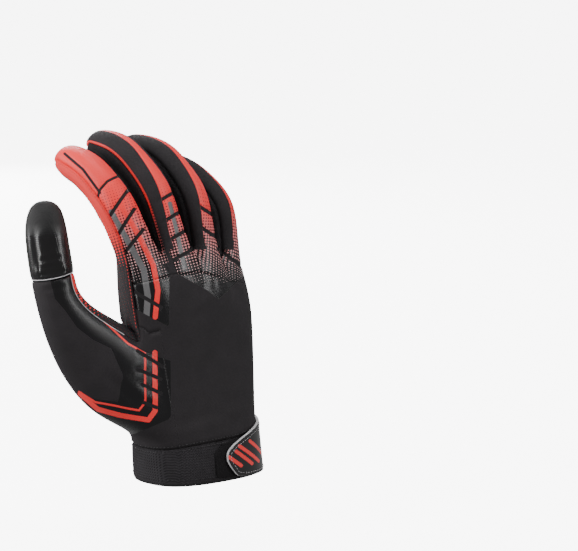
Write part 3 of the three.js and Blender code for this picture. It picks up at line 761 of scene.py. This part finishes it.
coral = (0.98, 0.036, 0.034)
pale = (0.62, 0.5, 0.5)
film_black = (0.004, 0.0036, 0.0044)
# Grey of the painted reflections on the film.
painted_reflection_grey = (0.13, 0.127, 0.13)
dot_pitch = 1.7
print_cloth, tree, shader = new_material("print_cloth", 0.8, Specular_IOR_Level=0.4)
knit = use_group(tree, knit_group, Pitch=fine_knit)
cloth_colour = mix_colour(tree, knit.outputs["Shade"], black, worn_black)
film = field_mask(tree, "film")
tone = attribute(tree, "tone")
drawing = attribute(tree, "drawing", "Vector")
dots_place = attribute(tree, "dots_place", "Vector")
dots = use_group(tree, dots_group, Drawing=dots_place, Tone=tone, Pitch=dot_pitch)
printed = sum_node(tree, "GREATER_THAN", tone, 0.03)
dot_mask = sum_node(tree, "MULTIPLY", dots.outputs["Dots"], printed)
dot_colour = mix_colour(tree, sum_node(tree, "MULTIPLY", tone, 1.6, clamp=True), pale, coral)
film_colour = mix_colour(tree, dot_mask, film_black, dot_colour)
colour = mix_colour(tree, film, cloth_colour, film_colour)
# Painted reflection: the grey strokes are laid over the film as light stripes.
painted_reflection_mask = sum_node(tree, "MULTIPLY", drawn_mask(tree, drawing, painted_reflection_strokes), film)
colour = mix_colour(tree, painted_reflection_mask, colour, painted_reflection_grey)
coral_mask = drawn_mask(tree, drawing, coral_strokes)
colour = mix_colour(tree, coral_mask, colour, coral)
groove_paths = [(line, slash_width) for line in slashes]
groove_paths += [(line, joint_groove_shade) for line in joint_grooves]
covered = sum_node(tree, "MAXIMUM", film, coral_mask)
groove = sum_node(tree, "MULTIPLY", drawn_mask(tree, drawing, groove_paths), covered)
colour = mix_colour(tree, groove, colour, black)
tree.links.new(colour, shader.inputs["Base Color"])
glossy = sum_node(tree, "MULTIPLY", covered, sum_node(tree, "SUBTRACT", 1.0, groove))
dull = sum_node(tree, "MULTIPLY_ADD", sum_node(tree, "MULTIPLY", dot_mask, glossy), 0.22, 0.8)
tree.links.new(sum_node(tree, "MULTIPLY_ADD", glossy, -0.55, dull), shader.inputs["Roughness"])
weave = sum_node(tree, "MULTIPLY", knit.outputs["Height"], 0.5)
add_bump(tree, shader, sum_node(tree, "MULTIPLY_ADD", dot_mask, 0.5, weave), 0.00012, 0.6)

for finger in fingers:
    cloth_piece(finger["name"] + "_back", cloth_thickness, print_cloth)
cloth_piece("hand_back", cloth_thickness, print_cloth)

# Side strips between the fingers: the same matte black knit without film, each strip sewn between
# two finger backs and the finger fronts.
stretch_cloth, tree, shader = new_material("stretch_cloth", 0.85, Specular_IOR_Level=0.3)
knit = use_group(tree, knit_group, Pitch=fine_knit)
paint(tree, shader, knit.outputs["Shade"], black, worn_black)
add_bump(tree, shader, knit.outputs["Height"], 0.00018)
for name in ("index_middle", "middle_ring", "ring_little"):
    cloth_piece(name + "_fourchette", cloth_thickness, stretch_cloth)

# Outer side strip: the same knit down the little finger's side, with a slit above the cuff that
# opens the glove for the hand. The cut edge lies under the slit's binding.
slit_rim = np.array([vertex.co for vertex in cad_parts["slit_binding"].data.vertices]) / MM
slit_middle = (slit_rim.min(axis=0) + slit_rim.max(axis=0)) / 2
slit_nearest = np.argmin(np.linalg.norm(surface - slit_middle, axis=1))
slit_out = ways_out[slit_nearest] * (1, 1, 0)
slit_across = np.cross((0, 0, 1), slit_out / np.linalg.norm(slit_out))
slit_reach, slit_top = 2.8, slit_rim[:, 2].max() - 1.8
slit_foot = slit_rim[:, 2].min()


def outside_slit(centres):
    """True for the faces that the slit above the tab leaves; its cut edge lies under the binding."""
    offset = (centres - slit_middle) @ slit_across
    height = centres[:, 2]
    round_top = np.hypot(offset, np.maximum(height - (slit_top - slit_reach), 0)) < slit_reach
    return ~(round_top & (height > slit_foot) & (height < slit_top))


cloth_piece("ulnar_panel", cloth_thickness, stretch_cloth, outside_slit)

# Thumb back: a piece of the printed cloth that runs round the thumb's root, sewn to the gusset, the
# palm and the thumb's front.
cloth_piece("thumb_back", cloth_thickness, print_cloth)

# Radial gusset: the strip down the thumb side of the index finger and round the thumb's web. It is
# the same black knit, printed all over with coral dots that thin out towards the web, and sewn in.
gusset_cloth, tree, shader = new_material("gusset_cloth", 0.6, Specular_IOR_Level=0.4)
knit = use_group(tree, knit_group, Pitch=fine_knit)
finger_side = sum_node(tree, "MULTIPLY_ADD", attribute(tree, "tone"), 2.4, -0.35, clamp=True)
finger_side = sum_node(tree, "MAXIMUM", finger_side, attribute(tree, "web"))
drawing = attribute(tree, "drawing", "Vector")
dots = use_group(tree, dots_group, Drawing=drawing, Tone=finger_side, Pitch=dot_pitch)
colour = mix_colour(tree, knit.outputs["Shade"], black, worn_black)
colour = mix_colour(tree, dots.outputs["Dots"], colour, coral)
tree.links.new(colour, shader.inputs["Base Color"])
add_bump(tree, shader, knit.outputs["Height"], 0.00014)
cloth_piece("radial_gusset", cloth_thickness, gusset_cloth)

# Palm and thumb fronts: cloth coated with tacky black silicone, glossy, moulded with fine ribs
# across the hand. The finger fronts are cut in one with the palm, the thumb's front is sewn on.
rib_pitch = 2.6
grip_skin, tree, shader = new_material("grip_skin", 0.24, Coat_Weight=0.3, Coat_Roughness=0.12)
rib_turn = sum_node(tree, "MULTIPLY", attribute(tree, "along"), 2 * math.pi / rib_pitch)
rib = sum_node(tree, "ABSOLUTE", sum_node(tree, "SINE", sum_node(tree, "MULTIPLY", rib_turn, 0.5)))
cloud = cloud_noise(tree, 55)
paint(tree, shader, cloud, (0.003, 0.0027, 0.003), (0.007, 0.0063, 0.007))
tree.links.new(sum_node(tree, "MULTIPLY_ADD", cloud, 0.16, 0.18), shader.inputs["Roughness"])
add_bump(tree, shader, rib, 0.0004, 0.7)
for name in ("palm_panel", "thumb_front"):
    cloth_piece(name, palm_thickness, grip_skin)

# Thumb cap: the tip's own wrap of the same silicone, glossy with a matte end and creased at the
# joint.
cap_skin, tree, shader = new_material("cap_skin", 0.2)
cloud = cloud_noise(tree, 70)
paint(tree, shader, cloud, (0.003, 0.0027, 0.003), (0.007, 0.0062, 0.007))
drawing_split = tree.nodes.new("ShaderNodeSeparateXYZ")
tree.links.new(attribute(tree, "drawing", "Vector"), drawing_split.inputs[0])
matte_tip = sum_node(tree, "MULTIPLY_ADD", drawing_split.outputs[1], -0.12, 17.2, clamp=True)
gloss = sum_node(tree, "MULTIPLY_ADD", cloud, 0.2, 0.06)
tree.links.new(sum_node(tree, "MULTIPLY_ADD", matte_tip, 0.5, gloss), shader.inputs["Roughness"])
cap_knit = 0.0011
knit = use_group(tree, knit_group, Pitch=cap_knit)
add_bump(tree, shader, knit.outputs["Height"], 0.00004)
cloth_piece("thumb_cap", palm_thickness, cap_skin)

# Cuff: a double band of charcoal polyester and elastane, rib knitted, folded at the lower edge and
# sewn to the palm, the back and the outer strip.
cuff_knit, tree, shader = new_material("cuff_knit", 0.88, Specular_IOR_Level=0.3)
cuff_knit_pitch, cuff_stretch = 0.0013, 0.8
knit = use_group(tree, knit_group, Pitch=cuff_knit_pitch, Stretch=cuff_stretch)
paint(tree, shader, knit.outputs["Shade"], (0.012, 0.0105, 0.0122), (0.032, 0.0285, 0.0325))
add_bump(tree, shader, knit.outputs["Height"], 0.0003)
cloth_piece("cuff_band", cuff_thickness, cuff_knit)


# Stitches. Rows of thread run beside the seams, each stitch a short rounded length laid along its
# row by one Geometry Nodes tree. The rows are drawn on the finished cloth, a little in from the
# seam, in grey thread where it shows and black elsewhere.
dressed_points, dressed_quads = [], []
for panel in panel_names:
    points, local, used = panel_arrays(panel)
    dressed_quads += (local + len(dressed_points)).tolist()
    dressed_points += points.tolist()
dressed = BVHTree.FromPolygons(dressed_points, dressed_quads)
quad_middles = surface[quads].mean(axis=1)


def seam_row(panel, others, inset, lift=0.12, keep=lambda point: True):
    """Points and edges of a line that follows panel's seam with the other panels."""
    used, inward = {}, {}
    edges = []
    for (a, b), faces in seam_edges.items():
        sides = {panel_names[quad_panel[face]]: face for face in faces}
        if panel not in sides or not (set(sides) - {panel}) & set(others):
            continue
        if not (keep(surface[a]) and keep(surface[b])):
            continue
        for vertex in (a, b):
            way = quad_middles[sides[panel]] - surface[vertex]
            along = surface[b] - surface[a]
            along = along / (np.linalg.norm(along) + 1e-9)
            way = way - along * way.dot(along)
            inward[vertex] = inward.get(vertex, 0) + way / (np.linalg.norm(way) + 1e-9)
            used.setdefault(vertex, len(used))
        edges.append((used[a], used[b]))
    points = []
    for vertex in used:
        way = inward[vertex] / (np.linalg.norm(inward[vertex]) + 1e-9)
        place, normal, _, _ = dressed.find_nearest(Vector(surface[vertex] + way * inset))
        points.append(place + normal * lift)
    return points, edges


def join_rows(rows):
    points, edges = [], []
    for row_points, row_edges in rows:
        edges += [(a + len(points), b + len(points)) for a, b in row_edges]
        points += row_points
    return points, edges


def row_tree(name, inputs):
    """A Geometry Nodes tree that takes a row's edges as curves, and the identifiers of its inputs."""
    tree = bpy.data.node_groups.new(name, "GeometryNodeTree")
    tree.interface.new_socket("Geometry", in_out="INPUT", socket_type="NodeSocketGeometry")
    identifiers = {}
    for socket, kind in inputs:
        made = tree.interface.new_socket(socket, in_out="INPUT", socket_type=kind)
        identifiers[socket] = made.identifier
    tree.interface.new_socket("Geometry", in_out="OUTPUT", socket_type="NodeSocketGeometry")
    tree_in = tree.nodes.new("NodeGroupInput")
    to_curve = tree.nodes.new("GeometryNodeMeshToCurve")
    tree.links.new(tree_in.outputs["Geometry"], to_curve.inputs[0])
    return tree, identifiers, tree_in, to_curve


def finish_tree(tree, shape, material):
    gather = tree.nodes.new("GeometryNodeRealizeInstances")
    colouring = tree.nodes.new("GeometryNodeSetMaterial")
    tree.links.new(shape, gather.inputs[0])
    tree.links.new(gather.outputs[0], colouring.inputs["Geometry"])
    tree.links.new(material, colouring.inputs["Material"])
    tree.links.new(colouring.outputs[0], tree.nodes.new("NodeGroupOutput").inputs[0])


stitch_tree, stitch_sockets, tree_in, to_curve = row_tree("stitch_rows", (
    ("Pitch", "NodeSocketFloat"), ("Stitch Length", "NodeSocketFloat"),
    ("Thread Radius", "NodeSocketFloat"), ("Thread", "NodeSocketMaterial")))
nodes, links = stitch_tree.nodes, stitch_tree.links
resample = nodes.new("GeometryNodeResampleCurve")
resample.mode = "LENGTH"
bead = nodes.new("GeometryNodeMeshUVSphere")
bead_segments, bead_rings = 6, 5
bead.inputs["Segments"].default_value = bead_segments
bead.inputs["Rings"].default_value = bead_rings
bead.inputs["Radius"].default_value = 1
size = nodes.new("ShaderNodeCombineXYZ")
half_stitch = sum_node(stitch_tree, "MULTIPLY", tree_in.outputs["Stitch Length"], 0.5)
tangent = nodes.new("GeometryNodeInputTangent")
align = nodes.new("FunctionNodeAlignRotationToVector")
align.axis = "Z"
spread = nodes.new("GeometryNodeInstanceOnPoints")
links.new(to_curve.outputs[0], resample.inputs["Curve"])
links.new(tree_in.outputs["Pitch"], resample.inputs["Length"])
links.new(tree_in.outputs["Thread Radius"], size.inputs[0])
links.new(tree_in.outputs["Thread Radius"], size.inputs[1])
links.new(half_stitch, size.inputs[2])
links.new(tangent.outputs[0], align.inputs["Vector"])
links.new(resample.outputs[0], spread.inputs["Points"])
links.new(bead.outputs["Mesh"], spread.inputs["Instance"])
links.new(align.outputs[0], spread.inputs["Rotation"])
links.new(size.outputs[0], spread.inputs["Scale"])
finish_tree(stitch_tree, spread.outputs[0], tree_in.outputs["Thread"])


def lay_rows(name, rows, tree, inputs):
    """Runs a tree over joined rows and keeps what it makes as one plain mesh."""
    points, edges = join_rows(rows)
    mesh = bpy.data.meshes.new(name + "_path")
    mesh.from_pydata([tuple(Vector(point) * MM) for point in points], edges, [])
    piece = place_piece(name, mesh)
    laying = piece.modifiers.new("laying", "NODES")
    laying.node_group = tree
    for identifier, value in inputs.items():
        laying[identifier] = value
    laid = finished_mesh(piece)
    piece.modifiers.clear()
    piece.data = laid
    laid.shade_smooth()
    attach(piece, "root")


def sew(name, rows, thread, pitch, stitch_length, radius):
    sizes = {"Pitch": pitch * MM, "Stitch Length": stitch_length * MM, "Thread Radius": radius * MM,
             "Thread": thread}
    inputs = {stitch_sockets[socket]: value for socket, value in sizes.items()}
    lay_rows(name, rows, stitch_tree, inputs)


def speckled(name, roughness, scale, dark, light, depth):
    """A plain finish with fine uneven shade and relief: threads, cut edges, pile, painted seam highlights.
    """
    material, tree, shader = new_material(name, roughness)
    noise = cloud_noise(tree, scale)
    paint(tree, shader, noise, dark, light)
    add_bump(tree, shader, noise, depth)
    return material


thread_colours = {"grey": ((0.22, 0.21, 0.22), (0.5, 0.48, 0.5)),
                  "black": ((0.006, 0.005, 0.006), (0.03, 0.027, 0.03)),
                  "coral": ((0.6, 0.04, 0.035), (0.9, 0.09, 0.08))}
grey_thread, black_thread, coral_thread = [
    speckled(name + "_thread", 0.6, 2600, dark, light, 0.0001)
    for name, (dark, light) in thread_colours.items()]
body_names = ["palm_panel", "hand_back", "index_back", "middle_back", "ring_back", "little_back",
              "ulnar_panel", "thumb_back", "thumb_front", "radial_gusset"]
side_rows = [seam_row("ulnar_panel", ["palm_panel"], 1.5), seam_row("ulnar_panel", ["palm_panel"], 2.9),
             seam_row("ulnar_panel", ["hand_back", "little_back"], 1.5)]
sew("side_stitches", side_rows, grey_thread, 2.1, 1.6, 0.24)
cuff_rows = [seam_row(name, ["cuff_band"], 1.6) for name in ("hand_back", "palm_panel", "thumb_back")]
cuff_rows.append(seam_row("cuff_band", body_names, 1.6))
sew("cuff_stitches", cuff_rows, black_thread, 2.2, 1.7, 0.26)
hem_points, hem_edges = [], []
hem_height, hem_count, hem_reach = 4.2, 144, 90
for step in range(hem_count):
    angle = 2 * math.pi * step / hem_count
    origin = Vector((-0.5, 0, hem_height))
    way = Vector((math.cos(angle), math.sin(angle), 0))
    place, normal, _, _ = dressed.ray_cast(origin + way * hem_reach, -way)
    hem_points.append(place + normal * 0.1)
    hem_edges.append((step, (step + 1) % hem_count))
sew("hem_stitches", [(hem_points, hem_edges)], black_thread, 2.4, 1.8, 0.22)
finger_backs = [finger["name"] + "_back" for finger in fingers]
palm_rows = [seam_row("palm_panel", [back, "radial_gusset", "ulnar_panel"], 1.3) for back in finger_backs]
palm_rows.append(seam_row("thumb_front", ["thumb_back", "radial_gusset", "palm_panel"], 1.4))
sew("palm_stitches", palm_rows, black_thread, 2.2, 1.7, 0.24)
sew("gusset_stitches", [seam_row("radial_gusset", ["index_back", "hand_back"], 1.3)],
    coral_thread, 2.0, 1.5, 0.22)

# Seam highlights: a fine pale cord laid in the seam along the thumb's joint and sides and down
# the fingers' sides, its pale colour a painted highlight where the seams' edges catch the light.
# The cord's pale colour is a painted highlight, not the cloth's own colour.
painted_highlight_cord = speckled("painted_highlight_cord", 0.4, 300, (0.45, 0.43, 0.45), (0.85, 0.83, 0.85), 0.0001)
thumb_from, index_from, finger_from = -58, 125, 160
painted_highlight_rows = [
    seam_row("thumb_cap", ["thumb_back", "thumb_front", "radial_gusset"], 0.5, 0.1),
    seam_row("thumb_back", ["radial_gusset"], 0.4, 0.1, lambda point: point[0] < thumb_from),
    seam_row("radial_gusset", ["palm_panel"], 0.3, 0.05, lambda point: point[2] > index_from),
]
for pair in ("index_middle", "middle_ring", "ring_little"):
    back = pair.split("_")[0] + "_back"
    painted_highlight_rows.append(
        seam_row(back, [pair + "_fourchette"], 0.3, 0.05, lambda point: point[2] > finger_from))
painted_highlight_radius, painted_highlight_sides = 0.3, 6
painted_highlight_tree, painted_highlight_sockets, tree_in, to_curve = row_tree(
    "painted_highlight", (("Radius", "NodeSocketFloat"), ("Cord", "NodeSocketMaterial")))
to_mesh = painted_highlight_tree.nodes.new("GeometryNodeCurveToMesh")
profile = painted_highlight_tree.nodes.new("GeometryNodeCurvePrimitiveCircle")
profile.inputs["Resolution"].default_value = painted_highlight_sides
to_mesh.inputs["Fill Caps"].default_value = True
painted_highlight_tree.links.new(tree_in.outputs["Radius"], profile.inputs["Radius"])
painted_highlight_tree.links.new(to_curve.outputs[0], to_mesh.inputs["Curve"])
painted_highlight_tree.links.new(profile.outputs[0], to_mesh.inputs["Profile Curve"])
finish_tree(painted_highlight_tree, to_mesh.outputs[0], tree_in.outputs["Cord"])
painted_highlight_inputs = {painted_highlight_sockets["Radius"]: painted_highlight_radius * MM, painted_highlight_sockets["Cord"]: painted_highlight_cord}
lay_rows("painted_seam_highlights", painted_highlight_rows, painted_highlight_tree, painted_highlight_inputs)


# Pull tab: a moulded sheet of glossy black rubber that wraps the wrist's outer side, stitched all
# round near its pale cut edge and printed with slanted coral marks. Like the other trim, it is made
# from its own solid with rounded edges.
def merged_copy(node):
    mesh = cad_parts[node].data.copy()
    shape = bmesh.new()
    shape.from_mesh(mesh)
    bmesh.ops.remove_doubles(shape, verts=shape.verts, dist=0.00002)
    bmesh.ops.join_triangles(shape, faces=shape.faces, angle_face_threshold=0.5, angle_shape_threshold=3.1)
    shape.to_mesh(mesh)
    shape.free()
    return mesh


def trim_piece(node, materials, rounding, levels):
    mesh = merged_copy(node)
    mesh.materials.clear()
    for material in materials:
        mesh.materials.append(material)
    piece = place_piece(node + "_trim", mesh)
    if len(materials) > 1:
        for face in mesh.polygons:
            outward = Vector((face.center.x, face.center.y, 0)).normalized()
            face.material_index = int(abs(face.normal.dot(outward)) < 0.5)
    mesh.shade_smooth()
    bevel = piece.modifiers.new("edge", "BEVEL")
    bevel.width = rounding * MM
    bevel.segments = 2
    bevel.limit_method = "ANGLE"
    bevel.angle_limit = math.radians(50)
    if levels:
        soften = piece.modifiers.new("soften", "SUBSURF")
        soften.levels = soften.render_levels = levels
    piece.data = finished_mesh(piece)
    piece.modifiers.clear()
    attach(piece, "root")
    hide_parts(node)
    return piece.data


mark_width = 2
mark_ends = [((229.8, 455.3), (239, 464)), ((234.2, 449.3), (248.8, 462.4)),
             ((239.6, 444.5), (258.6, 460.7)), ((246.7, 439.6), (256.5, 449.6))]


def slanted_marks(mesh):
    """The tab's slanted marks, found on the drawing and drawn on the tab unrolled round the wrist."""
    points = read_out(mesh.vertices, "co", 3) / MM
    flat = on_drawing(points)
    far_away = 1000 * (points @ back_way < 0)
    turned = np.arctan2(points[:, 1] / wrist_depth, points[:, 0] / wrist_breadth)
    unrolled = np.stack([turned * (wrist_breadth + wrist_depth) / 4, points[:, 2]], 1)
    lines = []
    for ends in mark_ends:
        nearest = [np.argmin(np.linalg.norm(flat - end, axis=1) + far_away) for end in ends]
        lines.append(unrolled[nearest])
    lines[3][1] = lines[3][0] + lines[2][1] - lines[2][0]
    inside = widest(unrolled, lines, mark_width)
    keep_values(mesh, "mark", inside)


tab_gloss, tree, shader = new_material("tab_gloss", 0.16, Coat_Weight=0.5, Coat_Roughness=0.06)
mark = field_mask(tree, "mark")
paint(tree, shader, mark, (0.004, 0.0037, 0.0045), coral)
cloud = cloud_noise(tree, 160)
tree.links.new(sum_node(tree, "MULTIPLY_ADD", cloud, 0.12, 0.12), shader.inputs["Roughness"])
add_bump(tree, shader, sum_node(tree, "ADD", mark, cloud), 0.0001, 0.5)
cut_edge = speckled("cut_edge", 0.5, 400, (0.3, 0.29, 0.3), (0.75, 0.73, 0.75), 0.00008)
slanted_marks(trim_piece("closure_tab", [tab_gloss, cut_edge], 0.4, 3))
tab_mesh = merged_copy("closure_tab")
tab_faces = {}
for face in tab_mesh.polygons:
    outward = Vector((face.center.x, face.center.y, 0)).normalized()
    if face.normal.dot(outward) > 0.5:
        for edge in face.edge_keys:
            tab_faces.setdefault(edge, []).append(face)
tab_inset = 2.2
inward, tab_used, tab_edges = {}, {}, []
for (a, b), faces in tab_faces.items():
    if len(faces) == 1:
        ends = [tab_mesh.vertices[vertex].co / MM for vertex in (a, b)]
        run = (ends[1] - ends[0]).normalized()
        for vertex, place in zip((a, b), ends):
            way = faces[0].center / MM - place
            way -= run * way.dot(run)
            inward[vertex] = inward.get(vertex, Vector()) + way.normalized()
            tab_used.setdefault(vertex, len(tab_used))
        tab_edges.append((tab_used[a], tab_used[b]))
tab_tree = BVHTree.FromPolygons([vertex.co / MM for vertex in tab_mesh.vertices],
                                [tuple(face.vertices) for face in tab_mesh.polygons])
tab_points = []
for vertex in tab_used:
    place = tab_mesh.vertices[vertex].co / MM + inward[vertex].normalized() * tab_inset
    outward = Vector((place.x, place.y, 0)).normalized()
    near, normal, _, _ = tab_tree.find_nearest(place + outward * 0.5)
    tab_points.append(near + outward * 0.08)
sew("tab_stitches", [(tab_points, tab_edges)], grey_thread, 2.3, 1.7, 0.2)

# Hook patch: the woven hook-and-loop field that the tab's end closes on, with a short black pile.
# It is sewn flat on the cuff.
hook_pile, tree, shader = new_material("hook_pile", 0.92, Specular_IOR_Level=0.2)
pile = cloud_noise(tree, 1400)
paint(tree, shader, pile, (0.003, 0.0026, 0.003), (0.014, 0.0125, 0.014))
add_bump(tree, shader, pile, 0.0006)
trim_piece("hook_patch", [hook_pile], 0.3, 0)

# Slit binding: a folded tape of the stretch knit, sewn round the slit's cut edge above the tab.
trim_piece("slit_binding", [stretch_cloth], 0.3, 1)

# Stage: a plain pale floor, soft boxes either side and a long lens at the photograph's angle.
backdrop_light = 7
floor_mesh = bpy.data.meshes.new("floor")
half_floor, floor_height = 6.0, -0.045
floor_corners = [(x * half_floor, y * half_floor, floor_height)
                 for x, y in ((-1, -1), (1, -1), (1, 1), (-1, 1))]
floor_mesh.from_pydata(floor_corners, [], [(0, 1, 2, 3)])
dome_radius = 5.5
dome_shape = bmesh.new()
bmesh.ops.create_uvsphere(dome_shape, u_segments=48, v_segments=24, radius=dome_radius)
dome_mesh = bpy.data.meshes.new("dome")
dome_shape.to_mesh(dome_mesh)
dome_shape.free()
for name, mesh, shade in (("floor", floor_mesh, 0.86), ("dome", dome_mesh, 0)):
    backdrop = place_piece(name, mesh)
    backdrop_paint, tree, shader = new_material(name + "_paint", 0.9)
    shader.inputs["Base Color"].default_value = (shade, shade, shade, 1)
    shader.inputs["Emission Color"].default_value = (1, 1, 1, 1)
    shader.inputs["Emission Strength"].default_value = backdrop_light
    mesh.materials.append(backdrop_paint)
    for ray in ("visible_diffuse", "visible_glossy", "visible_shadow", "visible_transmission"):
        setattr(backdrop, ray, False)
world = bpy.data.worlds.new("studio")
world.use_nodes = True
sky = world.node_tree.nodes["Background"]
sky.inputs["Color"].default_value = (1, 1, 1, 1)
sky.inputs["Strength"].default_value = 0.36
bpy.context.scene.world = world


def soft_box(name, place, size, power):
    light = bpy.data.lights.new(name, "AREA")
    light.shape = "RECTANGLE"
    light.size, light.size_y = size
    light.energy = power
    box = bpy.data.objects.new(name, light)
    box.location = place
    aim = Vector((0, 0, 0.1)) - Vector(place)
    box.rotation_euler = aim.to_track_quat("-Z", "Y").to_euler()
    bpy.context.scene.collection.objects.link(box)


soft_box("soft_box_left", (-1.3, -0.1, 0.5), (0.3, 1.2), 15)
soft_box("soft_box_right", (0.7, -1.2, 0.6), (0.25, 1.2), 11)
soft_box("soft_box_palm", (0.6, 1.2, 0.6), (0.35, 1.2), 15)
soft_box("soft_box_web", (-0.85, 1.0, 0.5), (0.3, 1.2), 13)
soft_box("soft_box_top", (0, 0, 1.4), (0.8, 0.8), 9)

image_width, image_height = 578, 551
lens_distance, sensor_width = 2.5, 36
aim_point = (right_way * (image_width / 2 - drawing_foot[0]) * drawing_unit * MM
             + up_way * (drawing_foot[1] - image_height / 2) * drawing_unit * MM)
camera_data = bpy.data.cameras.new("camera")
camera_data.sensor_width = sensor_width
camera_data.lens = sensor_width * lens_distance / (image_width * drawing_unit * MM)
camera = bpy.data.objects.new("camera", camera_data)
camera.location = Vector(aim_point + back_way * lens_distance)
camera.rotation_euler = (-Vector(back_way)).to_track_quat("-Z", "Y").to_euler()
bpy.context.scene.collection.objects.link(camera)
bpy.context.scene.camera = camera
